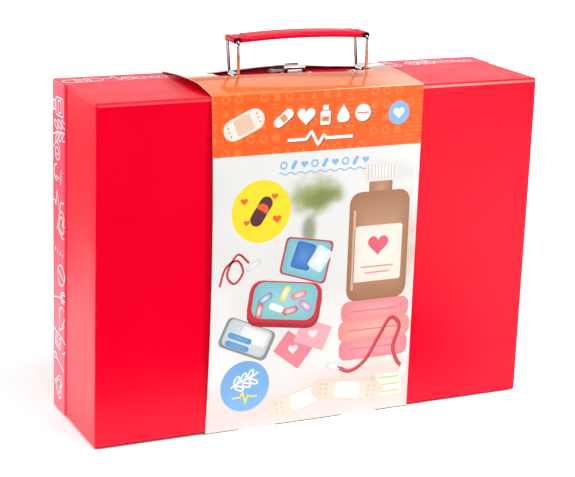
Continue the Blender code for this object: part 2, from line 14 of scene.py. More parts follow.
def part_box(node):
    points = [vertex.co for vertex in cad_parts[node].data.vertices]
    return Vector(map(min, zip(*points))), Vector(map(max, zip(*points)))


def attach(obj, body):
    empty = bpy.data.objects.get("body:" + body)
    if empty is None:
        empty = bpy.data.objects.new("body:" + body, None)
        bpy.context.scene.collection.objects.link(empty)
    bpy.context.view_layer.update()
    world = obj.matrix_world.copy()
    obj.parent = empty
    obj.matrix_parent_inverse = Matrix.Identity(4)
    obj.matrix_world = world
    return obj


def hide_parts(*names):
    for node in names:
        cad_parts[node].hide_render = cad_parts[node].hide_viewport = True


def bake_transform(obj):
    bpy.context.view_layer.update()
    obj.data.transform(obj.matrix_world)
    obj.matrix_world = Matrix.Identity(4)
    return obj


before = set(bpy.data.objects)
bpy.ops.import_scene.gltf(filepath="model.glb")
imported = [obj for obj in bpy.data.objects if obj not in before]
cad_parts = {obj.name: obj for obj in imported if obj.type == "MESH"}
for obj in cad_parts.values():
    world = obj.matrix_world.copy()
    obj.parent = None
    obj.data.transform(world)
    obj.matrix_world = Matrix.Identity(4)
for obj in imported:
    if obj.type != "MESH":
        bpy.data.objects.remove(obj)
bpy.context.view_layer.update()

MM = 0.001

# Camera, at the photograph's viewing angle
CAMERA_PLACE = (-0.49214, -1.01173, 0.43435)
CAMERA_AZIMUTH = -25.699
CAMERA_ELEVATION = 15.970
CAMERA_ROLL = 1.995
CAMERA_LENS = 110.2

# Light
WORLD_LIGHT = 0.26
FLOOR_SIZE = 8.0
FLOOR_GLOW = 0.34
FAR_FLOOR_GLOW = 1.5
FOOT_OF_ROOM = 1.6
BACK_OF_ROOM = 0.15
PALE_SCREEN = 0.5
FRONT_OF_ROOM = 0.02
LAMP_TARGET = (0, 0, 0.1)
# Lamps: name, place, size, power and whether mirrors show them
LAMPS = (
    ("soft_box_right", (1.55, -0.62, 0.80), 0.5, 31, False),
    ("soft_box_front", (-0.5, -1.6, 0.7), 0.9, 10.5, False),
    ("soft_box_left", (-1.6, 0.10, 0.70), 1.0, 20, False),
    ("soft_box_above", (0.3, -0.70, 1.5), 0.8, 11, True),
)

# Case
CORNER_ROUND = 0.9 * MM
FRONT_ROUND = 0.7 * MM
FRONT_BAND = 2.7 * MM
FRONT_BAND_LEAN = 0.42 * MM
LEAN_BELOW_TOP = (4 * MM, 1.2 * MM)
FRONT_BAND_MARGIN = 0.6 * MM
BACK_ROUND = 1.0 * MM
RIM_ROUND = 0.35 * MM
LID_RIM_DEPTH = 2.4 * MM
LID_RIM_INSET = 0.9 * MM
BOARD = 2.0 * MM
WALL_SINK = 0.05 * MM
FOOT_DRAWN_IN = 0.8 * MM
TOP_DRAWN_IN = 1.2 * MM
PANEL_BOW = 1.0 * MM
EDGE_DRAWN_IN = 2.5 * MM
EDGE_MIDDLE_Z = 108 * MM
EDGE_HALF_HEIGHT = 112 * MM
EDGE_REACH = 16 * MM
OVERLAP_DROP = 17 * MM

# Sleeve
CARD = 0.5 * MM
CREASE_ROUND = 0.9 * MM
HEADER_FOOT = 182.4 * MM
WINDOW_CORNER = 2.0 * MM
CORNER_SHARES = (0, 0.08, 0.25, 0.5, 0.75, 1)
UNDERSIDE_PARTING = 1.3 * MM
TAB_WIDTH = 26 * MM
TAB_SPACING = 74.2 * MM
LEFT_RIDGE_Y = -14.8 * MM
LEFT_RIDGE_RISE = 4.6 * MM
RIGHT_RIDGE_Y = 5.2 * MM
RIGHT_RIDGE_RISE = 3.6 * MM
WINDOW_SAG = 1.1 * MM
SAG_LEFT = -23 * MM
SAG_RIGHT = 48 * MM
SAG_FADE = (36 * MM, 50 * MM)
SAG_AHEAD = (-24 * MM, -4 * MM)
FOLD_MARGIN = 0.4 * MM
FOOT_PARTING = 0.4 * MM
TAB_STEP = 0.6 * MM
TAB_CLEARANCE = 0.3 * MM
CREASE_CLEARANCE = 0.3 * MM
WINDOW_PAST_LEFT = 14 * MM
WINDOW_PAST_RIGHT = 3 * MM
WINDOW_DEPTH = 18 * MM
STRIP_EASE_START = 10 * MM
WINDOW_BEHIND_SEAM = 3.5 * MM
NOTCH_BEHIND_SEAM = 11.5 * MM
NOTCH_LEFT = -9.5 * MM
NOTCH_RIGHT = 10.5 * MM
STRIP_RISE = 1.5 * MM
STRIP_CROWN = 3.5 * MM
STRIP_CROWN_X = -8 * MM
STRIP_CROWN_REACH = 42 * MM
STRIP_FLANK = 15 * MM

# Handle
WIRE_RADIUS = 1.1 * MM
WIRE_BEND = 2.4 * MM
STIRRUP_HEIGHT = 23.2 * MM
FOOT_WIDTH = 14.4 * MM
HEAD_WIDTH = 18 * MM
BAR_HEIGHT = 2.8 * MM
HANDLE_LEAN = math.radians(-3)
GRIP_HALF_WIDTH = 7.2 * MM
GRIP_THICKNESS = 2.5 * MM
GRIP_DROP = 1.8 * MM
GRIP_ARCH = 1.9 * MM
GRIP_EDGE = 0.8 * MM
GRIP_END_LIFT = 1.2 * MM
GRIP_END_REACH = 9 * MM
ROLL_HALF_LENGTH = 2.8 * MM
ROLL_HALF_HEIGHT = 1.95 * MM
ROLL_WALL = 0.55 * MM
ROLL_SHIFT = 0.15 * MM
PAD_RISE = 1.6 * MM
PAD_HALF_LENGTH = 42 * MM
PAD_OFFSET = 1.2 * MM
PAD_RAMP = 2.4 * MM
PAD_INSET = 1.7 * MM
PAD_SIDE_RAMP = 0.5 * MM

# Rivets
FASTENERS = (("bracket", 4), ("clasp", 2), ("keeper", 2))
RIVET_RADIUS = 2.0 * MM
RIVET_DOME = 0.8 * MM
SHANK_RADIUS = 1.0 * MM
CLINCH_RADIUS = 1.6 * MM
CLINCH_HEIGHT = 0.6 * MM
CLINCH_ROUND = 0.15 * MM

# Edges sharper than this stay sharp
SHARP_DEGREES = 40
GRIP_SHARP_DEGREES = 50
CARD_SHARP_DEGREES = 60

# Ink: a layer on the lid, the step between two printed layers of the sleeve, how far the
# sleeve's card lies inside the CAD box to leave room for them, and a doodle's line width
INK = 0.03 * MM
PRINT_STEP = 0.012 * MM
PRINT_SINK = 0.13 * MM
STROKE = 0.86 * MM


def tint(red, green, blue):
    """A shader colour from the 0 to 255 values of a screen."""
    values = np.array([red, green, blue]) / 255
    linear = np.where(values <= 0.04045, values / 12.92, ((values + 0.055) / 1.055) ** 2.4)
    return (*linear.tolist(), 1.0)


WHITE = tint(255, 255, 255)
TEAL = tint(148, 214, 216)
ORANGE = tint(255, 101, 38)
PAPER_WHITE = tint(243, 242, 240)
CARD_GREY = tint(196, 188, 178)
INK_WHITE = tint(255, 250, 248)
YELLOW = tint(255, 233, 20)
SKY = tint(134, 188, 236)
PLUM = tint(92, 32, 48)
# A whitened orange, laid over the sleeve's top as a painted sheen
PAINTED_SHEEN = tint(255, 240, 228)
SPOT_BLUE = tint(118, 176, 230)
SPOT_ORANGE = tint(255, 96, 40)
MOTIF_ORANGE = tint(255, 120, 60)
CAPSULE_RED = tint(206, 34, 48)


def limits(node):
    """Lowest and highest corner of a node, as arrays."""
    low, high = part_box(node)
    return np.array(low), np.array(high)


BASE_LOW, BASE_HIGH = limits("base_shell")
LID_LOW, LID_HIGH = limits("lid_shell")
PANEL_LOW, PANEL_HIGH = limits("sleeve_front_panel")
TOP_LOW, TOP_HIGH = limits("sleeve_top")
STRIP_LOW, STRIP_HIGH = limits("sleeve_back")
FRONT = BASE_LOW[1]
BACK = LID_HIGH[1]
FLOOR = BASE_LOW[2]
TOP = BASE_HIGH[2]
HALF_WIDTH = BASE_HIGH[0] - WALL_SINK
SEAM = (BASE_HIGH[1] + LID_LOW[1]) / 2
MIDDLE_Z = (FLOOR + TOP) / 2
SLEEVE_FACE = STRIP_HIGH[1] - PRINT_SINK
SLEEVE_LEFT = PANEL_LOW[0]
SLEEVE_RIGHT = PANEL_HIGH[0]
SLEEVE_MIDDLE = (SLEEVE_LEFT + SLEEVE_RIGHT) / 2
CREASE_RISE = PANEL_HIGH[2] + CARD + CREASE_CLEARANCE - TOP
WINDOW_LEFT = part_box("stirrup_left")[1][0] - WIRE_RADIUS - WINDOW_PAST_LEFT
WINDOW_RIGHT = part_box("stirrup_right")[1][0] - WIRE_RADIUS + WINDOW_PAST_RIGHT
WINDOW_FRONT = TOP_HIGH[1] - WINDOW_DEPTH
WINDOW_REAR = SEAM + WINDOW_BEHIND_SEAM


class Socket:
    """A shader socket used as a number in Python expressions; each operator adds a Math node."""

    def __init__(self, recipe, link):
        self.recipe = recipe
        self.link = link

    def maths(self, operation, *others):
        inputs = dict(enumerate((self, *others)))
        return self.recipe.node("ShaderNodeMath", {"operation": operation}, inputs)

    def __add__(self, other):
        return self.maths("ADD", other)

    def __sub__(self, other):
        return self.maths("SUBTRACT", other)

    def __rsub__(self, other):
        return self.maths("MULTIPLY_ADD", -1.0, other)

    def __mul__(self, other):
        return self.maths("MULTIPLY", other)

    def __truediv__(self, other):
        return self.maths("DIVIDE", other)

    def __neg__(self):
        return self.maths("MULTIPLY", -1.0)

    __radd__ = __add__
    __rmul__ = __mul__

    def step(self, low, high):
        """0 below low, 1 above high, smooth between."""
        inputs = {"Value": self, "From Min": low, "From Max": high}
        settings = {"interpolation_type": "SMOOTHSTEP"}
        return self.recipe.node("ShaderNodeMapRange", settings, inputs)

    def size(self):
        return self.maths("ABSOLUTE")

    def within_cell(self):
        """The part after the point, less a half: -0.5 to 0.5 over each whole step."""
        return self.maths("FRACT") - 0.5

    def most(self, other):
        return self.maths("MAXIMUM", other)


class Nodes:
    """A node tree in the making, and one method for each kind of step that it uses."""

    def __init__(self, tree):
        self.tree = tree

    def node(self, kind, settings, inputs, output=0):
        """Add a node: its settings first, then the values or links of its sockets."""
        made = self.tree.nodes.new(kind)
        for setting, value in settings.items():
            setattr(made, setting, value)
        for socket, value in inputs.items():
            if isinstance(value, Socket):
                self.tree.links.new(value.link, made.inputs[socket])
            else:
                made.inputs[socket].default_value = value
        return Socket(self, made.outputs[output])

    def distance(self, u, v):
        """The square root of u squared plus v squared."""
        return (u * u + v * v).maths("SQRT")

    def ray(self, kind):
        """1 for light that travels as this kind of ray."""
        return self.node("ShaderNodeLightPath", {}, {}, kind)

    def part(self, vector, axis):
        return self.node("ShaderNodeSeparateXYZ", {}, {"Vector": vector}, axis)

    def vector(self, x, y, z):
        return self.node("ShaderNodeCombineXYZ", {}, {"X": x, "Y": y, "Z": z})


class Recipe(Nodes):
    """A finish in the making: one Principled shader and the nodes that feed it."""

    def __init__(self, name, constants):
        self.material = bpy.data.materials.new(name)
        self.material.use_nodes = True
        super().__init__(self.material.node_tree)
        self.shader = self.tree.nodes["Principled BSDF"]
        for socket, value in constants.items():
            self.shader.inputs[socket].default_value = value
        self.place = self.node("ShaderNodeTexCoord", {}, {}, "Object")
        self.x, self.y, self.z = (self.part(self.place, axis) for axis in "XYZ")

    def feed(self, socket, value):
        self.tree.links.new(value.link, self.shader.inputs[socket])

    def finish(self, colour, roughness, normal):
        """Feed the shader's colour, roughness and normal, and give the finished material."""
        self.feed("Base Color", colour)
        self.feed("Roughness", roughness)
        self.feed("Normal", normal)
        return self.material

    def mix(self, share, first, second):
        """The colour that goes from the first to the second as share goes from 0 to 1."""
        return self.node("ShaderNodeMix", {"data_type": "RGBA"}, {0: share, 6: first, 7: second}, 2)

    def layers(self, colour, *coats):
        """A colour with others laid over it, each by its share."""
        for share, over in coats:
            colour = self.mix(share, colour, over)
        return colour

    def noise(self, scale, detail=2.0, place=None):
        """Soft random values round 0.5, with lumps of about 1/scale metres."""
        inputs = {"Vector": place or self.place, "Scale": scale, "Detail": detail}
        return self.node("ShaderNodeTexNoise", {}, inputs)

    def relief(self, height, depth, below=None):
        """Bump whose height, from 0 to 1, stands for a depth in metres."""
        inputs = {"Height": height, "Distance": depth, "Strength": 1.0}
        if below:
            inputs["Normal"] = below
        return self.node("ShaderNodeBump", {}, inputs)


def near_edges(recipe, inset):
    """1 within an inset of the case's outer edges, where two of its faces meet."""
    places = (
        (recipe.x.size(), HALF_WIDTH),
        (recipe.y.size(), BACK),
        ((recipe.z - MIDDLE_Z).size(), MIDDLE_Z - FLOOR),
    )
    across, deep, tall = (
        place.step(edge - inset, edge - inset / 3) for place, edge in places
    )
    return (across * tall).most(across * deep).most(deep * tall)


def wrapped_paper(name, gloss, pale, deep, painted_side_sheen):
    """Red printed paper with a satin laminate, glued over board.

    Its side walls behind the seam are lightened pink as a painted sheen, the front's upper edge
    carries a painted highlight that grows to the right, and the front's foot carries a dark painted
    contact shadow.
    """
    recipe = Recipe(name, {"Specular IOR Level": gloss})
    mottle = recipe.noise(38, 3)
    fibre = recipe.noise(1500, 2)
    # Edge wear: random patches near the case's edges are a little paler
    wear_and_highlight = near_edges(recipe, 1.6 * MM) * recipe.noise(70, 4).step(0.50, 0.75)
    side = recipe.x.size().step(HALF_WIDTH - 0.4 * MM, HALF_WIDTH - 0.2 * MM)
    behind_seam = recipe.y.step(SEAM + 2.0 * MM, SEAM + 2.6 * MM)
    at_front = 1 - recipe.y.step(FRONT + 0.05 * MM, FRONT + 0.6 * MM)
    # Painted highlight: a pale band just under the front's top edge, growing to the right and
    # easing at the far right
    band_foot = TOP - FRONT_BAND
    edge = recipe.z.step(band_foot, band_foot + 0.4 * MM)
    edge = edge * (1 - recipe.z.step(TOP - 0.9 * MM, TOP - 0.6 * MM))
    edge = edge * (0.12 + 0.42 * recipe.x.step(-40 * MM, 75 * MM))
    edge = edge * (1 - 0.4 * recipe.x.step(80 * MM, 150 * MM))
    # Painted shadow: a dark contact line along the front's foot, where it meets the floor
    foot = 1 - recipe.z.step(FLOOR + 0.4 * MM, FLOOR + 1.8 * MM)
    colour = recipe.layers(
        recipe.mix(mottle, deep, pale),
        # Painted sheen: the side walls behind the seam are lightened pink
        (side * behind_seam * painted_side_sheen, tint(255, 160, 176)),
        (wear_and_highlight * 0.12, tint(255, 96, 96)),
        (at_front * edge, tint(255, 220, 210)),
        (at_front * foot * 0.9, tint(84, 0, 26)),
    )
    roughness = 0.16 + 0.08 * mottle + 0.05 * fibre
    overlap = recipe.z.step(TOP - OVERLAP_DROP - 0.3 * MM, TOP - OVERLAP_DROP)
    waves = recipe.relief(recipe.noise(26, 2), 0.55 * MM)
    laps = recipe.relief(overlap * side, 0.10 * MM, waves)
    return recipe.finish(colour, roughness, recipe.relief(fibre, 0.012 * MM, laps))


def teal_paper():
    """Light teal lining paper, printed tone on tone with small rings and dots."""
    recipe = Recipe("teal_lining_paper", {"Specular IOR Level": 0.35})
    cell = 11 * MM
    u, v = ((recipe.y + way) / cell for way in (recipe.x, recipe.z))
    reach = recipe.distance(u.within_cell(), v.within_cell())
    ring = 1 - (reach - 0.24).size().step(0.035, 0.055)
    dot = 1 - reach.step(0.05, 0.07)
    fibre = recipe.noise(1300, 3)
    colour = recipe.mix(fibre * 0.3, TEAL, tint(128, 202, 208))
    colour = recipe.mix(ring.most(dot) * 0.35, colour, tint(96, 178, 192))
    return recipe.finish(colour, 0.52 + 0.12 * fibre, recipe.relief(fibre, 0.015 * MM))


def header_pattern(recipe):
    """Small shapes in a grid of cells: rings, squares, bars or a row of dots, picked at random."""
    cell = 8.6 * MM
    soft = 0.03
    across = (recipe.x - SLEEVE_MIDDLE) / cell
    along = (recipe.z + recipe.y) / cell
    across_cell = across.maths("FLOOR")
    along_cell = along.maths("FLOOR")
    corner = recipe.vector(across_cell, along_cell, 0.0)
    pick = recipe.node("ShaderNodeTexWhiteNoise", {"noise_dimensions": "2D"}, {"Vector": corner})
    u = across - across_cell - 0.5
    v = along - along_cell - 0.5
    ring = 1 - (recipe.distance(u, v) - 0.25).size().step(0.065, 0.065 + soft)
    square = 1 - u.size().most(v.size()).step(0.27, 0.27 + soft)
    bars = 1 - (v * 3.2).within_cell().size().step(0.12, 0.12 + soft)
    bars = bars * (1 - u.size().step(0.34, 0.36))
    dots_u = (u * 5).within_cell()
    dots = 1 - (dots_u * dots_u + v * v * 25).maths("SQRT").step(0.26, 0.34)
    wedge = 1 - (u.size() * 1.7 + v).step(0.22, 0.22 + soft)
    wedge = wedge * (1 - (-v).step(0.26, 0.26 + soft))
    chances = (0.0, 0.30, 0.50, 0.66, 0.78, 0.92)
    total = 0.0
    for shape, low, high in zip((ring, square, bars, dots, wedge), chances, chances[1:]):
        chosen = pick.maths("GREATER_THAN", low) * pick.maths("LESS_THAN", high)
        total = chosen * shape + total
    return total


def haze(recipe, x, z, width, height):
    """A soft oval, 1 in its middle: the square root of the two squared distances, as a step."""
    u = (recipe.x - (SLEEVE_MIDDLE + x * MM)) / (width * MM)
    v = (recipe.z - (FLOOR + z * MM)) / (height * MM)
    ragged = recipe.noise(70, 3) * 0.9 - 0.45
    return 1 - (recipe.distance(u, v) + ragged).step(0.2, 1.0)


# Hazes of the sleeve's picture: x, z, half width and half height in mm, colour and share
HAZES = (
    (-1, 153, 27, 17, tint(164, 172, 104), 0.95),
    (4, 150, 16, 10, tint(126, 138, 78), 0.80),
    (-5, 130, 8, 16, tint(130, 138, 100), 0.80),
    (52, 165, 30, 12, tint(226, 226, 220), 0.80),
    (60, 112, 24, 52, tint(210, 186, 164), 0.70),
    (46, 26, 58, 20, tint(236, 216, 206), 0.90),
    (-66, 60, 20, 70, tint(252, 250, 248), 0.60),
    (18, 66, 40, 30, tint(246, 243, 240), 0.70),
)


def sleeve_print():
    """Printed sleeve: an orange header with tone-on-tone shapes over a pale, hazy picture.

    Its glossy top is lightened as a painted sheen, more towards the back and the right and most on
    the strip behind the window, and the fold at the front carries a painted highlight, stronger to
    the right.
    """
    recipe = Recipe("sleeve_print", {"Roughness": 0.42, "Coat Roughness": 0.04})
    on_top = recipe.z.step(TOP + 0.3 * MM, TOP + CREASE_RISE)
    recipe.feed("Coat Weight", 0.13 + 0.87 * on_top)
    header = recipe.z.step(HEADER_FOOT - 0.08 * MM, HEADER_FOOT + 0.08 * MM)
    grain = recipe.noise(900, 2)
    orange = recipe.mix(grain * 0.25, ORANGE, tint(255, 110, 44))
    orange = recipe.mix(header_pattern(recipe) * 0.36, orange, tint(255, 160, 84))
    picture = recipe.mix(recipe.noise(14, 2), tint(231, 229, 226), tint(250, 250, 248))
    for x, z, width, height, colour, share in HAZES:
        picture = recipe.mix(haze(recipe, x, z, width, height) * share, picture, colour)
    foot = 1 - recipe.z.step(4 * MM, 46 * MM)
    picture = recipe.mix(foot * 0.9, picture, tint(220, 204, 200))
    front = 1 - recipe.y.step(-1 * MM, 1 * MM)
    picture = recipe.mix(front, PAPER_WHITE, picture)
    # Painted sheen: the glossy top is lightened towards the back and to the right
    painted_sheen_share = 0.5 * recipe.y.step(-10 * MM, 8 * MM)
    painted_sheen_share = painted_sheen_share + 0.3 * recipe.x.step(20 * MM, 60 * MM)
    # Painted highlight: a pale line along the front fold, stronger to the right
    fold = (recipe.z - (TOP + CREASE_RISE)) + (recipe.y + SLEEVE_FACE)
    fold = 1 - fold.size().step(0.22 * MM, 0.50 * MM)
    wear_and_highlight = front * fold * recipe.x.step(-50 * MM, 60 * MM)
    colour = recipe.layers(
        recipe.mix(header, picture, orange),
        (on_top * 0.5, tint(255, 134, 36)),
        (on_top * painted_sheen_share, PAINTED_SHEEN),
        # Painted sheen: the strip behind the window is whitened
        (on_top * 0.9 * recipe.y.step(12 * MM, 20 * MM), PAINTED_SHEEN),
        (wear_and_highlight * 0.85, tint(255, 240, 218)),
    )
    recipe.feed("Base Color", colour)
    waves = recipe.relief(recipe.noise(22, 2), 0.35 * MM)
    recipe.feed("Normal", recipe.relief(grain, 0.006 * MM, waves))
    return recipe.material


def plain_card(name, colour, darker):
    """Unprinted card: fibres and faint flecks."""
    recipe = Recipe(name, {"Specular IOR Level": 0.3})
    fibre = recipe.noise(1800, 4)
    colour = recipe.mix(fibre, colour, darker)
    return recipe.finish(colour, 0.62 + 0.2 * fibre, recipe.relief(fibre, 0.02 * MM))


def book_cloth():
    """Red book cloth: warp and weft threads as two crossed waves."""
    recipe = Recipe("hinge_book_cloth", {"Specular IOR Level": 0.25, "Sheen Weight": 0.2})
    turns = 2 * math.pi / (0.55 * MM)
    warp, weft = ((way * turns).maths("SINE") for way in (recipe.x, recipe.y))
    weave = (warp * weft) * 0.5 + 0.5
    fibre = recipe.noise(2500, 3)
    colour = recipe.mix(weave, tint(150, 8, 28), tint(206, 20, 44))
    colour = recipe.mix(fibre * 0.3, colour, tint(120, 4, 20))
    return recipe.finish(colour, 0.78 + 0.12 * fibre, recipe.relief(weave, 0.05 * MM))


def plated_steel(name, roughness, satin_tops):
    """Nickel plate over steel, with fine scratches and ripples; faces that look up are satin."""
    recipe = Recipe(name, {})
    scratch = recipe.noise(700, 3, recipe.vector(recipe.x * 6, recipe.y, recipe.z * 6))
    cloud = recipe.noise(160, 3)
    facing = recipe.node("ShaderNodeNewGeometry", {}, {}, "Normal")
    satin = recipe.part(facing, "Z").step(0.55, 0.95) * satin_tops
    recipe.feed("Metallic", 1 - satin)
    colour = recipe.mix(cloud, tint(236, 234, 232), tint(252, 252, 252))
    ripples = recipe.relief(cloud, 0.05 * MM)
    roughness = roughness + 0.10 * cloud + 0.05 * scratch
    return recipe.finish(colour, roughness, recipe.relief(scratch, 0.004 * MM, ripples))


def zinc():
    """Dull zinc plate with a crystalline mottling."""
    recipe = Recipe("zinc_plate", {"Metallic": 1.0})
    inputs = {"Vector": recipe.place, "Scale": 1200.0}
    spangle = recipe.node("ShaderNodeTexVoronoi", {}, inputs)
    recipe.feed("Base Color", recipe.mix(spangle, tint(150, 152, 154), tint(188, 190, 192)))
    recipe.feed("Roughness", 0.32 + 0.25 * spangle)
    return recipe.material


def grip_plastic(bores, bore_z):
    """Moulded red plastic with soft flow marks; the bores of the rolls are painted near black as
    shade.
    """
    recipe = Recipe("grip_plastic", {"Specular IOR Level": 0.35})
    inside = 0.0
    for bore in bores:
        across = (recipe.x - bore).size() - ROLL_HALF_LENGTH
        inside = (1 - across.step(-ROLL_WALL, -0.3 * MM)) + inside
    up = (recipe.z - bore_z).size() - ROLL_HALF_HEIGHT
    inside = inside * (1 - up.step(-ROLL_WALL, -0.3 * MM))
    flow = recipe.noise(60, 3, recipe.vector(recipe.x, recipe.y * 3, recipe.z * 3))
    colour = recipe.mix(flow, tint(214, 0, 42), tint(230, 0, 52))
    # Painted shade: the hollows of both rolls are coloured near black
    colour = recipe.mix(inside, colour, tint(16, 3, 6))
    marks = recipe.relief(flow, 0.12 * MM)
    fine = recipe.relief(recipe.noise(1100, 2), 0.006 * MM, marks)
    return recipe.finish(colour, 0.24 + 0.12 * flow, fine)


def ink(name, roughness):
    """Printing ink: the colour that each printed shape carries, slightly mottled."""
    recipe = Recipe(name, {"Coat Weight": 0.25, "Coat Roughness": 0.18})
    painted = recipe.node("ShaderNodeAttribute", {"attribute_name": "ink"}, {}, "Color")
    speck = recipe.noise(1300, 2)
    recipe.feed("Base Color", recipe.mix(speck * 0.06, painted, WHITE))
    recipe.feed("Roughness", roughness + 0.08 * speck)
    return recipe.material


def skin(rings, loop=False):
    """Points and faces over rings of points, one ring a row.

    Neighbouring rings are joined by quads. With loop the last ring joins the first; else
    each end is closed by a fan to its middle. Faces are turned outwards by the volume's sign.
    """
    rows, columns = rings.shape[:2]
    index = np.arange(rows * columns).reshape(rows, columns)
    below = index if loop else index[:-1]
    above = np.roll(index, -1, 0) if loop else index[1:]
    quads = np.stack([below, np.roll(below, -1, 1), np.roll(above, -1, 1), above], -1)
    quads = quads.reshape(-1, 4)
    points = rings.reshape(-1, 3)
    fans = np.zeros((0, 3), int)
    if not loop:
        ends = np.stack([rings[0].mean(0), rings[-1].mean(0)])
        first, last = index[0], index[-1]
        start = np.stack([np.roll(first, -1), first, np.full(columns, rows * columns)], -1)
        finish = np.stack([last, np.roll(last, -1), np.full(columns, rows * columns + 1)], -1)
        points = np.concatenate([points, ends])
        fans = np.concatenate([start, finish])
    triangles = np.concatenate([quads[:, [0, 1, 2]], quads[:, [0, 2, 3]], fans])
    a, b, c = (points[triangles[:, i]] - points.mean(0) for i in range(3))
    if np.einsum("ij,ij->i", a, np.cross(b, c)).sum() < 0:
        quads = quads[:, ::-1]
        fans = fans[:, ::-1]
    return points, quads, fans


def gather(skins):
    """Several skins as one set of points and faces."""
    shifts = np.cumsum([0] + [len(points) for points, _, _ in skins[:-1]])
    points = np.concatenate([part[0] for part in skins])
    quads = np.concatenate([part[1] + shift for part, shift in zip(skins, shifts)])
    fans = np.concatenate([part[2] + shift for part, shift in zip(skins, shifts)])
    return points, quads, fans


def linked(name, mesh, look, sharp_degrees, replaced, body):
    """Link a mesh as a piece with its finish, sharp edges, slot, replaced nodes and body."""
    mesh.materials.append(look)
    mesh.shade_smooth()
    mesh.set_sharp_from_angle(angle=math.radians(sharp_degrees))
    made = bpy.data.objects.new(name, mesh)
    bpy.context.collection.objects.link(made)
    if replaced:
        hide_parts(*replaced)
    if body:
        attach(made, body)
    return made


def piece(name, shape, look, body, replaced=(), sharp=SHARP_DEGREES, colours=None):
    """A piece made of points, quads and triangles, with an ink colour for each point or none."""
    points, quads, fans = shape
    mesh = bpy.data.meshes.new(name)
    mesh.from_pydata(points.tolist(), [], quads.tolist() + fans.tolist())
    if colours is not None:
        painted = mesh.color_attributes.new("ink", "FLOAT_COLOR", "POINT")
        painted.data.foreach_set("color", np.asarray(colours, np.float32).ravel())
    return linked(name, mesh, look, sharp, replaced, body)


def spaced(start, end, steps, margin):
    """Even steps from start to end, with one more close to each end, which keeps shading flat."""
    even = np.linspace(start, end, steps + 1)
    sign = math.copysign(margin, end - start)
    return np.concatenate([[start, start + sign], even[1:-1], [end - sign, end]])


def corner_arcs(half_width, half_height, radius, steps):
    """The four quarter circles of a rounded rectangle, anticlockwise from the right."""
    quarter = np.linspace(0, math.pi / 2, steps + 1)
    angle = quarter + np.arange(4)[:, None] * math.pi / 2
    ways = np.array([(1, 1), (-1, 1), (-1, -1), (1, -1)])
    centres = ways * (half_width - radius, half_height - radius)
    return centres[:, None] + radius * np.stack([np.cos(angle), np.sin(angle)], -1)


def rounded_rectangle(half_width, half_height, radius, corner_steps=6, side_steps=12):
    """A closed outline: four quarter circles joined by straight sides, from the right side up."""
    margin = 0.25 * MM
    arcs = corner_arcs(half_width, half_height, radius, corner_steps)
    sides = []
    for arc, goal in zip(arcs, np.roll(arcs[:, 0], -1, 0)):
        length = np.linalg.norm(goal - arc[-1])
        share = spaced(0, 1, side_steps, min(0.2, margin / max(length, margin)))[1:-1]
        sides.append(np.concatenate([arc, arc[-1] + share[:, None] * (goal - arc[-1])]))
    return np.concatenate(sides)


def smooth(value, low, high):
    """0 below low, 1 above high, and 3 t^2 - 2 t^3 between."""
    share = np.clip((value - low) / (high - low), 0, 1)
    return share * share * (3 - 2 * share)


def tray(rim, end, end_round, rim_depth, rim_inset, front=False):
    """Half of the case, as rings from the middle of its inner panel over the rim to its outer one.

    Each ring is a rectangle in X and Z with small round corners, at a y and an inset from the
    outer walls, and shrunk by a share towards the middle where it lies on a panel. The rim is a
    quarter of an ellipse. On the front half a band below the top edge leans back from the panel,
    and towards the rim the side walls are drawn in, more at the top than at the foot.
    """
    way = math.copysign(1, end - rim)
    quarter = np.linspace(0, math.pi / 2, 7)
    inner_end = end - way * BOARD
    stations = [(inner_end, BOARD, share) for share in (0.05, 0.35, 0.65, 0.9, 0.997, 1)]
    stations += [(y, BOARD, 1) for y in spaced(inner_end, rim, 5, 0.3 * MM)[1:]]
    outer_start = len(stations)
    stations.append((rim, rim_inset + 0.1 * MM, 1))
    for turn in quarter[::-1]:
        inset = rim_inset * (1 - math.cos(turn))
        stations.append((rim + way * rim_depth * (1 - math.sin(turn)), inset, 1))
    straight = spaced(rim + way * rim_depth, end - way * end_round, 8, 0.7 * MM)
    stations += [(y, 0, 1) for y in straight[1:]]
    for turn in quarter[1:]:
        inset = end_round * (1 - math.cos(turn))
        stations.append((end - way * end_round * (1 - math.sin(turn)), inset, 1))
    last = end_round
    if front:
        last = FRONT_BAND + FRONT_BAND_MARGIN
        stations += [(end, inset, 1) for inset in np.linspace(end_round, FRONT_BAND, 5)[1:]]
    shares = (0.997, 0.97, 0.9, 0.8, 0.7, 0.55, 0.4, 0.25, 0.1, 0.03)
    stations += [(end, last, share) for share in shares]
    rings = []
    half_height = (TOP - FLOOR) / 2
    for number, (y, inset, share) in enumerate(stations):
        radius = max(CORNER_ROUND - inset, 0.25 * MM)
        flat = rounded_rectangle(HALF_WIDTH - inset, half_height - inset, radius) * share
        ring = np.stack([flat[:, 0], np.full(len(flat), y), flat[:, 1] + MIDDLE_Z], -1)
        if front and number >= outer_start:
            near_rim = smooth(end - y, 0, end - rim)
            height = (ring[:, 2] - FLOOR) / (TOP - FLOOR)
            drawn_in = FOOT_DRAWN_IN + (TOP_DRAWN_IN - FOOT_DRAWN_IN) * height
            ring[:, 0] *= 1 - near_rim * drawn_in / HALF_WIDTH
        if share < 1 and number >= outer_start:
            ring[:, 1] -= way * panel_dent(ring[:, 0], ring[:, 2])
        elif front and abs(y - end) <= end_round:
            lean = 1 - np.clip((inset - end_round) / (FRONT_BAND - end_round), 0, 1)
            under_top = smooth(ring[:, 2], *(TOP - below for below in LEAN_BELOW_TOP))
            ring[:, 1] -= way * FRONT_BAND_LEAN * lean * under_top
        rings.append(ring)
    return skin(np.array(rings))


def panel_dent(x, z):
    """How far a panel bows in: (1 - u^4) (1 - v^4), with u and v 1 at its edges."""
    across = x / HALF_WIDTH
    up = (z - MIDDLE_Z) / (MIDDLE_Z - FLOOR)
    return PANEL_BOW * (1 - across**4) * (1 - up**4)


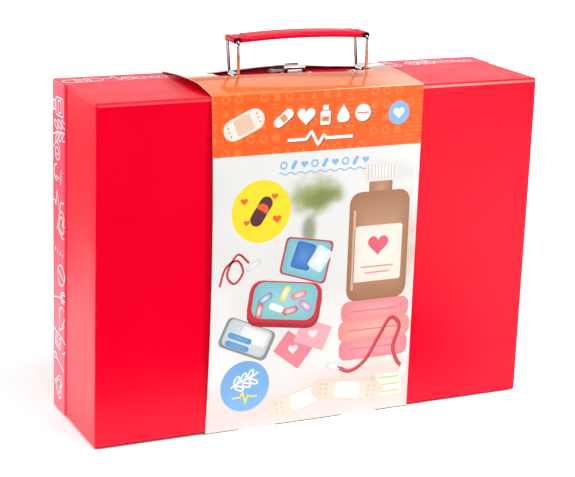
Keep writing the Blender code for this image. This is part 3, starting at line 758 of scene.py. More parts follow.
def sleeve_rise(x, y):
    """Height of the sleeve's top over the case: a ridge that falls to both creases.

    The ridge moves back and sinks from left to right. Behind the window the strip lies low, but
    for a crown, exp(-u^2) across the sleeve.
    """
    share = (x - SLEEVE_LEFT) / (SLEEVE_RIGHT - SLEEVE_LEFT)
    ridge_y = LEFT_RIDGE_Y + (RIGHT_RIDGE_Y - LEFT_RIDGE_Y) * share
    rise = LEFT_RIDGE_RISE + (RIGHT_RIDGE_RISE - LEFT_RIDGE_RISE) * share - CREASE_RISE
    ahead = np.clip((ridge_y - y) / (ridge_y + SLEEVE_FACE), 0, 1) ** (1.4 + 0.2 * share)
    behind = np.clip((y - ridge_y) / (SLEEVE_FACE - ridge_y), 0, 1) ** 2
    bowed = CREASE_RISE + rise * (1 - ahead - behind)
    crown = STRIP_CROWN * np.exp(-((x - STRIP_CROWN_X) / STRIP_CROWN_REACH) ** 2)
    fall = np.clip((SLEEVE_FACE - y) / (SLEEVE_FACE - WINDOW_REAR), 0, 1) ** 0.8
    strip = CREASE_RISE + (STRIP_RISE + crown - CREASE_RISE) * fall
    beside = np.maximum(WINDOW_LEFT - x, x - WINDOW_RIGHT)
    low = smooth(y, WINDOW_FRONT + STRIP_EASE_START, WINDOW_REAR)
    low = (1 - smooth(beside, 0, STRIP_FLANK)) * low
    return bowed + (strip - bowed) * low - window_sag(x, y)


def window_sag(x, y):
    """How far the card ahead of the window sinks: more to the right, and only near it."""
    across = np.clip((x - SAG_LEFT) / (SAG_RIGHT - SAG_LEFT), 0, 1) * (1 - smooth(x, *SAG_FADE))
    ahead = smooth(y, *SAG_AHEAD) * (1 - smooth(y, SEAM, WINDOW_REAR))
    return WINDOW_SAG * across * ahead


def card_sheet(name, grid, keep, body, replaced, looks):
    """A bent sheet of card from a grid of its outer points, less the cells that are cut out."""
    rows, columns = grid.shape[:2]
    index = np.arange(rows * columns).reshape(rows, columns)
    cells = np.stack([index[:-1, :-1], index[:-1, 1:], index[1:, 1:], index[1:, :-1]], -1)[keep]
    used, faces = np.unique(cells, return_inverse=True)
    shape = (grid.reshape(-1, 3)[used], faces.reshape(-1, 4), np.zeros((0, 3), int))
    made = piece(name, shape, looks[0], body, replaced, CARD_SHARP_DEGREES)
    for look in looks[1:]:
        made.data.materials.append(look)
    work = bmesh.new()
    work.from_mesh(made.data)
    for edge in work.edges:
        if edge.is_boundary:
            edge.smooth = False
    work.to_mesh(made.data)
    work.free()
    wall = made.modifiers.new("card", "SOLIDIFY")
    wall.thickness = CARD
    wall.offset = -1
    wall.use_even_offset = True
    wall.material_offset = 1
    wall.material_offset_rim = 2
    return made


def tab_edges():
    """The x of the lock tabs' edges, each a pair a hair apart, where the card steps."""
    centres = SLEEVE_MIDDLE + np.array([-TAB_SPACING, TAB_SPACING]) / 2
    return (centres[:, None] + np.array([-TAB_WIDTH, TAB_WIDTH]) / 2).ravel()


def in_tabs(x):
    left, left_end, right, right_end = tab_edges()
    return ((x > left) & (x < left_end)) | ((x > right) & (x < right_end))


def sleeve_columns():
    """The x of the sleeve's columns, and the first and last column of the window."""
    hair = 0.02 * MM
    cuts = (tab_edges()[:, None] + np.array([-hair, hair])).ravel()
    inner = [WINDOW_LEFT + WINDOW_CORNER, WINDOW_RIGHT - WINDOW_CORNER]
    cuts = np.append(cuts, (NOTCH_LEFT, NOTCH_RIGHT))
    even = np.linspace(SLEEVE_LEFT, SLEEVE_RIGHT, 61)
    even = even[np.abs(even[:, None] - np.append(cuts, inner)).min(1) > 0.8 * MM]
    columns = np.sort(np.concatenate([even, cuts, inner]))
    return columns, np.searchsorted(columns, inner[0]), np.searchsorted(columns, inner[1])


def open_window(grid, open_rows, eased_rows, closed_y, first, last):
    """Move the columns beside the window to its edge, with round corners at its closed end.

    The eased rows lead from the window's last row back to the straight columns.
    """
    columns = grid[0, :, 0].copy()
    for row in open_rows:
        deep = np.clip(WINDOW_CORNER - abs(grid[row, 0, 1] - closed_y), 0, WINDOW_CORNER)
        gain = math.sqrt(WINDOW_CORNER**2 - deep**2)
        left_end = WINDOW_LEFT + WINDOW_CORNER - gain
        right_start = WINDOW_RIGHT - WINDOW_CORNER + gain
        grid[row, : first + 1, 0] = np.linspace(SLEEVE_LEFT, left_end, first + 1)
        grid[row, last:, 0] = np.linspace(right_start, SLEEVE_RIGHT, len(columns) - last)
    closed = min(open_rows, key=lambda row: abs(grid[row, 0, 1] - closed_y))
    for number, row in enumerate(eased_rows):
        ease = (1 - (number + 1) / len(eased_rows)) ** 2
        grid[row, :, 0] = columns + ease * (grid[closed, :, 0] - columns)
    for row in (*open_rows, *eased_rows):
        grid[row, :, 2] = TOP + sleeve_rise(grid[row, :, 0], grid[row, 0, 1])


def card_grid(columns, rows):
    """Rows of (y, z) over the columns, each y and z one value or one for every column."""
    return np.array([np.stack(np.broadcast_arrays(columns, y, z), -1) for y, z in rows])


def crease(y, z, way_y, way_z, upright_first):
    """A quarter turn of card as rows of (y, z), from one face's edge to the next face's.

    The ways point out of the case, and (y, z) is the corner that the two faces would make.
    """
    turn = np.linspace(0, math.pi / 2, 6)[1:]
    starting = CREASE_ROUND * (1 - np.cos(turn))
    ending = CREASE_ROUND * (1 - np.sin(turn))
    deep, tall = (starting, ending) if upright_first else (ending, starting)
    return list(zip(y - way_y * deep, z - way_z * tall))


def sleeve_front(columns, first, last, looks):
    """The front panel with its lock tabs, the crease, and the top up to the parting."""
    crease_z = TOP + CREASE_RISE
    step = CARD + TAB_STEP
    rows = [(-SLEEVE_FACE, np.where(in_tabs(columns), 0, step)), (-SLEEVE_FACE, step)]
    panel_z = spaced(step, crease_z - CREASE_ROUND, 50, FOLD_MARGIN)[1:]
    rows += [(-SLEEVE_FACE, z) for z in panel_z]
    rows += crease(-SLEEVE_FACE, crease_z, -1, 1, True)
    front_rows = len(rows)
    ahead = np.linspace(-SLEEVE_FACE + CREASE_ROUND, WINDOW_FRONT, 26)[1:-1]
    corner = WINDOW_FRONT + WINDOW_CORNER * np.array(CORNER_SHARES)
    open_y = np.concatenate([corner, np.linspace(corner[-1], TOP_HIGH[1], 10)[1:]])
    window_row = front_rows + len(ahead)
    rows += [(y, TOP + sleeve_rise(columns, y)) for y in (*ahead, *open_y)]
    grid = card_grid(columns, rows)
    front = grid[:front_rows]
    height = (front[:, :, 2] - EDGE_MIDDLE_Z) / EDGE_HALF_HEIGHT
    drawn_in = EDGE_DRAWN_IN * np.clip(1 - height**2, 0, 1)
    front[:, :, 0] += drawn_in * (1 - smooth(columns, columns[0], columns[0] + EDGE_REACH))
    open_rows = range(window_row, len(rows))
    eased_rows = range(window_row - 1, window_row - 13, -1)
    open_window(grid, open_rows, eased_rows, WINDOW_FRONT, first, last)
    keep = np.ones((len(rows) - 1, len(columns) - 1), bool)
    keep[window_row:, first:last] = False
    nodes = ("sleeve_front_panel", "sleeve_top")
    card_sheet("sleeve_front_and_top", grid, keep, "sleeve_front_half", nodes, looks)


def sleeve_underside(columns, looks):
    """The front half's underside, notched at the lock tabs."""
    y_back = SEAM - UNDERSIDE_PARTING
    y_front = np.where(in_tabs(columns), -SLEEVE_FACE + CARD + TAB_CLEARANCE, -SLEEVE_FACE)
    shares = np.linspace(1, 0, 14)
    grid = card_grid(columns, [(y_front + (y_back - y_front) * share, 0.0) for share in shares])
    keep = np.ones((len(shares) - 1, len(columns) - 1), bool)
    nodes = ("sleeve_underside",)
    card_sheet("sleeve_underside_card", grid, keep, "sleeve_front_half", nodes, looks)


def sleeve_back(columns, first, last, looks):
    """The strip behind the window, notched for the clasp, the back panel and its foot."""
    crease_z = TOP + CREASE_RISE
    corner = WINDOW_REAR - WINDOW_CORNER * np.array(CORNER_SHARES[::-1])
    open_y = np.concatenate([np.linspace(STRIP_LOW[1], corner[0], 8)[:-1], corner])
    notch_rear = SEAM + NOTCH_BEHIND_SEAM
    notch = np.linspace(WINDOW_REAR, notch_rear, 6)[1:]
    panel_y = SLEEVE_FACE - CREASE_ROUND
    behind = np.concatenate([notch, np.linspace(notch_rear, panel_y, 9)[1:]])
    rows = [(y, TOP + sleeve_rise(columns, y)) for y in (*open_y, *behind)]
    rows += crease(SLEEVE_FACE, crease_z, 1, 1, False)
    panel_z = spaced(crease_z - CREASE_ROUND, CREASE_ROUND, 40, FOLD_MARGIN)[1:]
    rows += [(SLEEVE_FACE, z) for z in panel_z]
    rows += crease(SLEEVE_FACE, 0, 1, -1, True)
    rows += [(y, 0.0) for y in np.linspace(panel_y, SEAM + FOOT_PARTING, 8)[1:]]
    grid = card_grid(columns, rows)
    open_rows = range(len(open_y))
    eased_rows = range(len(open_y), len(open_y) + 10)
    open_window(grid, open_rows, eased_rows, WINDOW_REAR, first, last)
    keep = np.ones((len(rows) - 1, len(columns) - 1), bool)
    keep[: len(open_y) - 1, first:last] = False
    notch_columns = slice(*np.searchsorted(columns, (NOTCH_LEFT, NOTCH_RIGHT)))
    keep[: len(open_y) - 1 + len(notch), notch_columns] = False
    card_sheet("sleeve_back_card", grid, keep, "sleeve_back_half", ("sleeve_back",), looks)


def sleeve_pieces(looks, foot_card_and_shadow):
    """The card sleeve: front half with its window, underside, and back half."""
    columns, first, last = sleeve_columns()
    sleeve_front(columns, first, last, looks)
    # The underside's cut edges are dark: card, darkened as a painted shadow of the gap under the
    # sleeve
    sleeve_underside(columns, (looks[0], looks[1], foot_card_and_shadow))
    sleeve_back(columns, first, last, looks)


def rounded_loop(corners, radius, steps):
    """A closed polygon's points with each corner turned into an arc of the radius."""
    path = []
    for k in range(len(corners)):
        corner = corners[k]
        before = corners[k - 1] - corner
        after = corners[(k + 1) % len(corners)] - corner
        before = before / np.linalg.norm(before)
        after = after / np.linalg.norm(after)
        half = math.acos(float(before @ after)) / 2
        inward = (before + after) / np.linalg.norm(before + after)
        centre = corner + inward * radius / math.sin(half)
        start = corner + before * radius / math.tan(half) - centre
        end = corner + after * radius / math.tan(half) - centre
        turn = math.atan2(start[0] * end[1] - start[1] * end[0], float(start @ end))
        angle = np.linspace(0, turn, steps + 1)
        cos, sin = np.cos(angle), np.sin(angle)
        arc = np.stack([start[0] * cos - start[1] * sin, start[0] * sin + start[1] * cos], -1)
        path.append(centre + arc)
    return np.concatenate(path)


def leaned(points, pivot):
    """Points about a pivot, leaned with the handle about the Y axis."""
    cos, sin = math.cos(HANDLE_LEAN), math.sin(HANDLE_LEAN)
    return points @ np.array([(cos, 0, -sin), (0, 1, 0), (sin, 0, cos)]) + pivot


def stirrup_points():
    """Rings of wire round the stirrup's centre line, a rounded trapezium in Y and Z."""
    foot = FOOT_WIDTH / 2
    head = HEAD_WIDTH / 2
    corners = np.array([(-foot, 0), (foot, 0), (head, STIRRUP_HEIGHT), (-head, STIRRUP_HEIGHT)])
    path = rounded_loop(corners, WIRE_BEND, 8)
    tangent = np.roll(path, -1, 0) - np.roll(path, 1, 0)
    tangent /= np.linalg.norm(tangent, axis=1)[:, None]
    out = np.stack([-tangent[:, 1], tangent[:, 0]], -1)
    x, side = circle(0, 0, WIRE_RADIUS, 16).T
    around = path[:, None] + side[:, None] * out[:, None]
    return np.insert(around, 0, np.broadcast_to(x, around.shape[:2]), axis=2)


def roll_shape(side, half_width):
    """One open roll of the grip: an oblong tube along Y whose rims are rounded.

    Its outline in X and Z is a rounded rectangle; the rings step from the bore over the rim.
    """
    lip = 0.25 * MM
    arc = np.linspace(0, math.pi / 2, 4)
    stations = [(ROLL_WALL, -half_width + 2 * MM), (ROLL_WALL, -half_width)]
    stations += [(lip * (1 - math.sin(a)), -half_width + lip * (1 - math.cos(a))) for a in arc]
    stations += [(inset, -y) for inset, y in stations[::-1]]
    rings = []
    for inset, y in stations:
        radius = ROLL_HALF_HEIGHT - inset - 0.15 * MM
        flat = rounded_rectangle(ROLL_HALF_LENGTH - inset, ROLL_HALF_HEIGHT - inset, radius, 6, 4)
        rings.append(np.insert(flat + (side, ROLL_SHIFT), 1, y, axis=1))
    return skin(np.array(rings), loop=True)


def grip_shape(left, right):
    """The grip about the middle of its two rolls: a padded arched band between the open rolls.

    The band's under side is a parabola. Its top lifts to the rolls near both ends.
    """
    half = (right - left) / 2
    reach = half - ROLL_HALF_LENGTH + ROLL_WALL
    x = spaced(-reach, reach, 90, 0.3 * MM)
    outline = rounded_rectangle(GRIP_HALF_WIDTH, GRIP_THICKNESS / 2, GRIP_EDGE, 6, 30)
    y, z = outline[:, 0], outline[:, 1] + GRIP_THICKNESS / 2 - GRIP_DROP
    arch = GRIP_ARCH * (1 - (x / half) ** 2)
    upper = np.clip(outline[:, 1] / GRIP_THICKNESS + 0.5, 0, 1)
    lift = GRIP_END_LIFT * smooth(np.abs(x) - reach + GRIP_END_REACH, 0, GRIP_END_REACH)
    along = smooth(PAD_HALF_LENGTH - np.abs(x - PAD_OFFSET), 0, PAD_RAMP)
    across = smooth(GRIP_HALF_WIDTH - PAD_INSET - np.abs(y), 0, PAD_SIDE_RAMP)
    across = across * (outline[:, 1] > 0)
    pad = along * (PAD_RISE - 0.6 * lift)
    band = np.empty((len(x), len(y), 3))
    band[..., 0] = x[:, None]
    band[..., 1] = y
    band[..., 2] = z + arch[:, None] + lift[:, None] * upper + pad[:, None] * across
    return gather([skin(band)] + [roll_shape(side, GRIP_HALF_WIDTH) for side in (-half, half)])


def handle_pieces(steel, plastic):
    """Both stirrups and the grip, leaned as the photograph shows them."""
    left = limits("stirrup_left")[1][0] - WIRE_RADIUS * math.cos(HANDLE_LEAN)
    right = limits("stirrup_right")[1][0] - WIRE_RADIUS * math.cos(HANDLE_LEAN)
    middle_y = (limits("grip")[0][1] + limits("grip")[1][1]) / 2
    bar_z = TOP + BAR_HEIGHT
    rings = stirrup_points()
    for name, foot, body in (
        ("stirrup_wire_left", left, "handle_left_stirrup"),
        ("stirrup_wire_right", right, "handle_right_stirrup"),
    ):
        shape = skin(leaned(rings, (foot, middle_y, bar_z)), loop=True)
        piece(name, shape, steel, body, (name.replace("_wire", ""),))
    points, quads, fans = grip_shape(left, right)
    shift = STIRRUP_HEIGHT * math.sin(HANDLE_LEAN)
    rise = STIRRUP_HEIGHT * math.cos(HANDLE_LEAN)
    points = points + ((left + right) / 2 + shift, middle_y, bar_z + rise)
    grip = (points, quads, fans)
    nodes = ("grip",)
    piece("grip_moulding", grip, plastic, "handle_grip", nodes, GRIP_SHARP_DEGREES)


def eased(node, body, look, width):
    """A copy of a pressed metal node, with its loose faces merged and its edges eased."""
    work = bmesh.new()
    work.from_mesh(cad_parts[node].data)
    bmesh.ops.remove_doubles(work, verts=work.verts, dist=0.001 * MM)
    bmesh.ops.dissolve_limit(work, angle_limit=math.radians(1), verts=work.verts, edges=work.edges)
    name = f"{node}_pressing"
    mesh = bpy.data.meshes.new(name)
    work.to_mesh(mesh)
    work.free()
    mesh.materials.clear()
    made = linked(name, mesh, look, SHARP_DEGREES, (node,), body)
    bevel = made.modifiers.new("eased_edges", "BEVEL")
    bevel.width = width
    bevel.segments = 3
    bevel.limit_method = "ANGLE"
    bevel.angle_limit = math.radians(SHARP_DEGREES)
    bevel.harden_normals = True


def rivet(low, high):
    """A rivet between two heights: a profile of (radius, z) turned about its middle.

    The head is a quarter ellipse. Below it are the shank and the clinched end.
    """
    x, y = ((low + high) / 2)[:2]
    tail = low[2] + CLINCH_HEIGHT
    profile = [
        (RIVET_RADIUS * math.sin(turn), high[2] - RIVET_DOME * (1 - math.cos(turn)))
        for turn in np.linspace(0, math.pi / 2, 9)[1:]
    ]
    profile += [(SHANK_RADIUS, high[2] - RIVET_DOME), (SHANK_RADIUS, tail), (CLINCH_RADIUS, tail)]
    profile += [(CLINCH_RADIUS, low[2] + CLINCH_ROUND), (CLINCH_RADIUS - CLINCH_ROUND, low[2])]
    rings = [np.insert(circle(x, y, radius, 28), 2, z, axis=1) for radius, z in profile]
    return skin(np.array(rings))


def metal_pieces(steel):
    """Straps, clasp, keeper and every rivet."""
    for node, body, width in (
        ("handle_bracket_left", "base", 0.18 * MM),
        ("handle_bracket_right", "base", 0.18 * MM),
        ("clasp_plate", "base", 0.15 * MM),
        ("clasp_pin", "base", 0.15 * MM),
        ("clasp_lever", "clasp_lever", 0.16 * MM),
        ("keeper_plate", "lid", 0.15 * MM),
    ):
        eased(node, body, steel, width)
    for kind, count in FASTENERS:
        body = "lid" if kind == "keeper" else "base"
        for number in range(1, count + 1):
            node = f"{kind}_rivet_{number}"
            piece(f"{node}_head", rivet(*limits(node)), steel, body, (node,))


def hinge_strip(look):
    """The strip of book cloth let into both undersides, with its rows close together about the
    seam.
    """
    low = limits("hinge_cloth_base_flap")[0]
    high = limits("hinge_cloth_lid_flap")[1]
    thickness = high[2] - low[2]
    bend = 1.2 * MM
    y = np.concatenate([
        np.linspace(low[1], SEAM - bend, 8),
        np.linspace(SEAM - bend, SEAM + bend, 17)[1:-1],
        np.linspace(SEAM + bend, high[1], 8),
    ])
    ring_x = spaced(low[0], high[0], 60, 0.5 * MM)
    x_grid, y_grid = np.meshgrid(ring_x, y)
    under = np.stack([x_grid, y_grid, np.full_like(x_grid, low[2])], -1)
    over = under[:, ::-1] + (0, 0, thickness)
    rings = np.concatenate([under, over], 1)
    flaps = ("hinge_cloth_base_flap", "hinge_cloth_lid_flap")
    strip = piece("hinge_cloth_strip", skin(rings), look, None, flaps)
    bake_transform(strip)


def circle(x, y, radius, steps=26):
    turn = np.linspace(0, 2 * math.pi, steps + 1)[:-1]
    return np.stack([x + radius * np.cos(turn), y + radius * np.sin(turn)], -1)


def oval(x, y, half_width, half_height, turn=0, steps=26):
    ring = circle(0, 0, 1, steps) * (half_width, half_height)
    return spun(ring, turn) + (x, y)


def spun(points, degrees):
    """Points turned about the origin, anticlockwise."""
    cos, sin = math.cos(math.radians(degrees)), math.sin(math.radians(degrees))
    return points @ np.array([(cos, sin), (-sin, cos)])


def stadium(length, width, steps=9):
    """A closed outline with two straight sides and two half circles."""
    radius = width / 2
    turn = np.linspace(-math.pi / 2, math.pi / 2, steps)
    cap = np.stack([radius * np.cos(turn), radius * np.sin(turn)], -1)
    shift = (length / 2 - radius, 0)
    return np.concatenate([cap + shift, -cap - shift])


def box_outline(half_width, half_height, radius):
    return corner_arcs(half_width, half_height, radius, 4).reshape(-1, 2)


def heart(width, steps=40):
    """The curve x = 16 sin^3 t, y = 13 cos t - 5 cos 2t - 2 cos 3t - cos 4t, scaled to a width."""
    t = np.linspace(0, 2 * math.pi, steps + 1)[:-1]
    x = 16 * np.sin(t) ** 3
    y = 13 * np.cos(t) - 5 * np.cos(2 * t) - 2 * np.cos(3 * t) - np.cos(4 * t)
    return np.stack([x, y + 2], -1) * width / 32


def drop(height, steps=30):
    """A teardrop: x = sin t sin^2(t/2), y = cos t, scaled to a height."""
    t = np.linspace(0, 2 * math.pi, steps + 1)[:-1]
    return np.stack([1.1 * np.sin(t) * np.sin(t / 2) ** 2, np.cos(t)], -1) * height / 2


def open_line(*points):
    """A polyline through points, with a few points on each stretch."""
    points = np.array(points, float)
    parts = [np.linspace(a, b, 6)[:-1] for a, b in zip(points[:-1], points[1:])]
    return np.concatenate(parts + [points[-1:]])


def curl(turns, radius, steps=40):
    """A spiral whose radius grows evenly with its angle."""
    t = np.linspace(0.15, 1, steps)
    angle = 2 * math.pi * turns * t
    return np.stack([t * radius * np.cos(angle), t * radius * np.sin(angle)], -1)


def closed(*outlines):
    return [(outline, True) for outline in outlines]


def opened(*corners):
    return [(open_line(*points), False) for points in corners]


CURL = [(curl(2.2, 0.5), False)]
PULSE = opened(((-0.8, 0), (-0.3, 0), (-0.15, 0.35), (0.05, -0.4), (0.2, 0.15), (0.3, 0), (0.8, 0)))
SPRIG = opened(((-0.7, 0), (-0.2, 0.06), (0.3, 0.02), (0.7, 0.12))) + closed(
    *(oval(x, way * 0.2, 0.2, 0.09, way * 40) for x in (-0.35, 0, 0.35) for way in (-1, 1))
)
PLASTER = closed(
    stadium(1.5, 0.5),
    box_outline(0.25, 0.25, 0.03),
    *(circle(x, y, 0.035, 8) for x in (-0.1, 0.1) for y in (-0.1, 0.1)),
)
THERMOMETER = closed(stadium(1.5, 0.24), circle(-0.86, 0, 0.17)) + opened(
    *(((x, 0.0), (x, 0.12)) for x in np.linspace(-0.4, 0.5, 5))
)
CAPSULE = closed(stadium(1.3, 0.5)) + opened(((0, -0.25), (0, 0.25)), ((0.15, 0.13), (0.42, 0.13)))
DROP = closed(drop(1.0)) + opened(((-0.16, -0.3), (-0.2, -0.1), (-0.12, 0.1)))
BOTTLE = closed(
    box_outline(0.3, 0.38, 0.08) - (0, 0.15),
    box_outline(0.2, 0.14, 0.03) - (0, 0.15),
    box_outline(0.16, 0.11, 0.03) + (0, 0.40),
)
SPOON = closed(*(oval(-0.55, 0, *halves) for halves in ((0.28, 0.18), (0.18, 0.1))))
SPOON += opened(((-0.27, 0), (0.75, 0.05)))
TABLET = closed(circle(0, 0, 0.42)) + opened(((-0.28, -0.18), (0.28, 0.18)))
SWAB = opened(((-0.6, 0), (0.6, 0))) + closed(*(oval(x, 0, 0.16, 0.1) for x in (-0.72, 0.72)))
HEART = closed(heart(1.0), heart(0.62))

# Line drawings about one unit wide, each a list of lines and whether they are closed
DOODLES = (
    PLASTER, HEART, THERMOMETER, CAPSULE, DROP, SPRIG, BOTTLE, PULSE, SPOON, TABLET, CURL, SWAB,
)


def ribbon(path, normal, width, whole, thickness=INK):
    """A thin flat line of ink along points that lie on a surface with these normals."""
    if whole:
        tangent = np.roll(path, -1, 0) - np.roll(path, 1, 0)
    else:
        tangent = np.gradient(path, axis=0)
    tangent /= np.maximum(np.linalg.norm(tangent, axis=1), 1e-9)[:, None]
    side = np.cross(tangent, normal) * width / 2
    low = path + normal * thickness * 0.2
    high = path + normal * thickness
    rings = np.stack([low - side, low + side, high + side, high - side], 1)
    return skin(rings, whole)


def lid_wall(wall, along, y):
    """Points and normals on a wall of the lid, at a place along it and a y.

    The wall's edges are quarter ellipses: a deep one at the rim and a round one at the back.
    """
    from_rim = np.clip(1 - (y - LID_LOW[1]) / LID_RIM_DEPTH, 0, 1)
    from_back = np.clip(1 - (BACK - y) / BACK_ROUND, 0, 1)
    rim_drop = LID_RIM_INSET * (1 - np.sqrt(1 - from_rim**2))
    inset = rim_drop + BACK_ROUND * (1 - np.sqrt(1 - from_back**2))
    steep = np.clip(from_rim, 0, 0.95)
    lean = from_back - steep * LID_RIM_INSET / LID_RIM_DEPTH / np.sqrt(1 - steep**2)
    lean = np.clip(lean, -0.9, 0.9)
    out = np.sqrt(1 - lean**2)
    if wall == "top":
        return np.stack([along, y, TOP - inset], -1), np.stack([0 * y, lean, out], -1)
    way = 1 if wall == "right" else -1
    points = np.stack([way * (HALF_WIDTH - inset), y, along], -1)
    return points, np.stack([way * out, lean, 0 * y], -1)


def kept_runs(inside):
    """Start and end of each unbroken run of points that lie inside."""
    marks = np.flatnonzero(np.diff(np.concatenate([[0], inside.astype(int), [0]])))
    return marks.reshape(-1, 2)


def doodle_strokes(number, place, size, turn):
    """The lines of a doodle in its place, each with its ink and whether it is closed."""
    for layer, (stroke, whole) in enumerate(DOODLES[number]):
        flat = spun(stroke * size * MM, turn) + np.array(place) * MM
        yield flat, INK * (1 + 0.08 * layer), whole


def wall_doodles(wall, places):
    """Doodles on a wall of the lid, cut off at the rim."""
    low, high = (-HALF_WIDTH, HALF_WIDTH) if wall == "top" else (FLOOR, TOP)
    margin = 0.8 * MM
    skins = []
    for number, along, y, size, turn in places:
        for flat, thickness, whole in doodle_strokes(number, (along, y), size, turn):
            if whole:
                flat = np.concatenate([flat, flat[:1]])
            inside = (flat[:, 1] > LID_LOW[1] + 0.3 * MM) & (flat[:, 1] < BACK - 0.5 * MM)
            inside &= (flat[:, 0] > low + margin) & (flat[:, 0] < high - margin)
            for start, end in kept_runs(inside):
                if end - start < 3:
                    continue
                uncut = whole and end - start == len(flat)
                run = flat[start : end - 1] if uncut else flat[start:end]
                path, normal = lid_wall(wall, run[:, 0], run[:, 1])
                skins.append(ribbon(path, normal, STROKE, uncut, thickness))
    return skins


def back_doodles():
    """Rows of doodles over the lid's back panel, turned and shifted a little from a grid."""
    random = np.random.default_rng(7)
    skins = []
    number = 0
    for row in range(7):
        for column in range(9):
            x = -136 + column * 34 + (row % 2) * 10 + random.uniform(-4, 4)
            z = 20 + row * 31 + random.uniform(-4, 4)
            size = random.uniform(15, 20)
            turn = random.uniform(0, 360)
            number = (number + 5) % len(DOODLES)
            reach = 0.9 * size * MM
            if abs(x) * MM + reach > HALF_WIDTH or abs(z * MM - MIDDLE_Z) + reach > MIDDLE_Z:
                continue
            for flat, thickness, whole in doodle_strokes(number, (x, z), size, turn):
                path = np.insert(flat, 1, BACK - panel_dent(*flat.T), axis=1)
                normal = np.broadcast_to((0.0, 1.0, 0.0), path.shape)
                skins.append(ribbon(path, normal, STROKE, whole, thickness))
    return skins


# Places on the lid's walls: doodle, place along the wall, y, size in mm, turn in degrees
LEFT_WALL_DOODLES = (
    (6, 205, 30, 19, 2),
    (5, 190, 26, 20, 100),
    (10, 175, 32, 14, 0),
    (3, 160, 25, 21, 78),
    (7, 143, 31, 20, 95),
    (1, 128, 25, 18, 200),
    (2, 111, 30, 22, 84),
    (9, 95, 25, 16, 30),
    (8, 79, 31, 21, 100),
    (4, 64, 24, 19, 60),
    (0, 49, 31, 19, 80),
    (11, 33, 25, 17, 70),
    (1, 18, 31, 16, 170),
)
RIGHT_WALL_DOODLES = tuple(
    (8 - number if number < 9 else number, along, y, size, -turn)
    for number, along, y, size, turn in LEFT_WALL_DOODLES
)
TOP_WALL_DOODLES = (
    (0, -138, 29, 18, 5),
    (7, -114, 31, 17, -4),
    (2, -88, 28, 22, -3),
    (4, -58, 33, 14, 10),
    (7, -30, 35, 14, 0),
    (1, 0, 35, 11, 180),
    (3, 40, 35, 14, 5),
    (1, 80, 29, 18, 160),
    (5, 104, 29, 18, 4),
    (2, 130, 28, 19, -5),
)


def lid_drawings(look):
    """Thin white line drawings over the lid's walls and back."""
    skins = []
    for wall, places in (
        ("left", LEFT_WALL_DOODLES),
        ("right", RIGHT_WALL_DOODLES),
        ("top", TOP_WALL_DOODLES),
    ):
        skins += wall_doodles(wall, places)
    points, quads, fans = gather(skins + back_doodles())
    points[:, 0] = np.clip(points[:, 0], LID_LOW[0], LID_HIGH[0])
    colours = np.tile(INK_WHITE, (len(points), 1))
    shape = (points, quads, fans)
    piece("lid_line_drawings", shape, look, "lid", colours=colours)


class Print:
    """Flat ink shapes on one face of the sleeve, each on a level a little above the last.

    Outlines and places are in millimetres from the sleeve's middle and the case's foot.
    """

    def __init__(self, face_y, way):
        self.face_y = face_y
        self.way = way
        self.skins = []
        self.colours = []

    def on_face(self, flat, level):
        x = SLEEVE_MIDDLE - self.way * flat[:, 0] * MM
        y = np.full(len(flat), self.face_y + self.way * level * PRINT_STEP)
        return np.stack([x, y, FLOOR + flat[:, 1] * MM], -1)

    def add(self, shape, colour):
        self.skins.append(shape)
        self.colours.append(np.tile(colour, (len(shape[0]), 1)))

    def patch(self, outline, place, colour, level, middle=None, turn=0):
        """A filled outline, turned and then moved to its place, with a colour for its middle."""
        flat = spun(outline, turn) + place
        rings = np.stack([self.on_face(flat, level - 0.8), self.on_face(flat, level)])
        self.add(skin(rings), colour)
        if middle is not None:
            self.colours[-1][-2:] = middle

    def stroke(self, line, colour, level, width, whole=False):
        """A line of even width."""
        path = self.on_face(line, level - 1)
        normal = np.broadcast_to((0.0, float(self.way), 0.0), path.shape)
        self.add(ribbon(path, normal, width * MM, whole, PRINT_STEP), colour)

    def drawing(self, doodle, place, size, turn, colour, level, width):
        """A line drawing; each stroke lies a little above the one before."""
        for number, (line, whole) in enumerate(doodle):
            flat = spun(line * size, turn) + place
            self.stroke(flat, colour, level + number * 0.12, width, whole)

    def finish(self, name, look, body):
        shape = gather(self.skins)
        piece(name, shape, look, body, colours=np.concatenate(self.colours))


def plaster(art, place, turn, level, length, pad, hole, tones):
    """A sticking plaster: a strip, its pad, and rows of air holes at both ends.

    The pad is its half width, half height and corner. The hole is its radius, the columns'
    places, the rows' spacing and the points of its outline.
    """
    strip, middle, gauze, dots = tones
    radius, columns, spacing, steps = hole
    art.patch(stadium(length, 14), place, strip, level, middle, turn)
    art.patch(box_outline(*pad), place, gauze, level + 1, turn=turn)
    for across in columns:
        for up in (-spacing, 0, spacing):
            art.patch(circle(across, up, radius, steps), place, dots, level + 1, turn=turn)


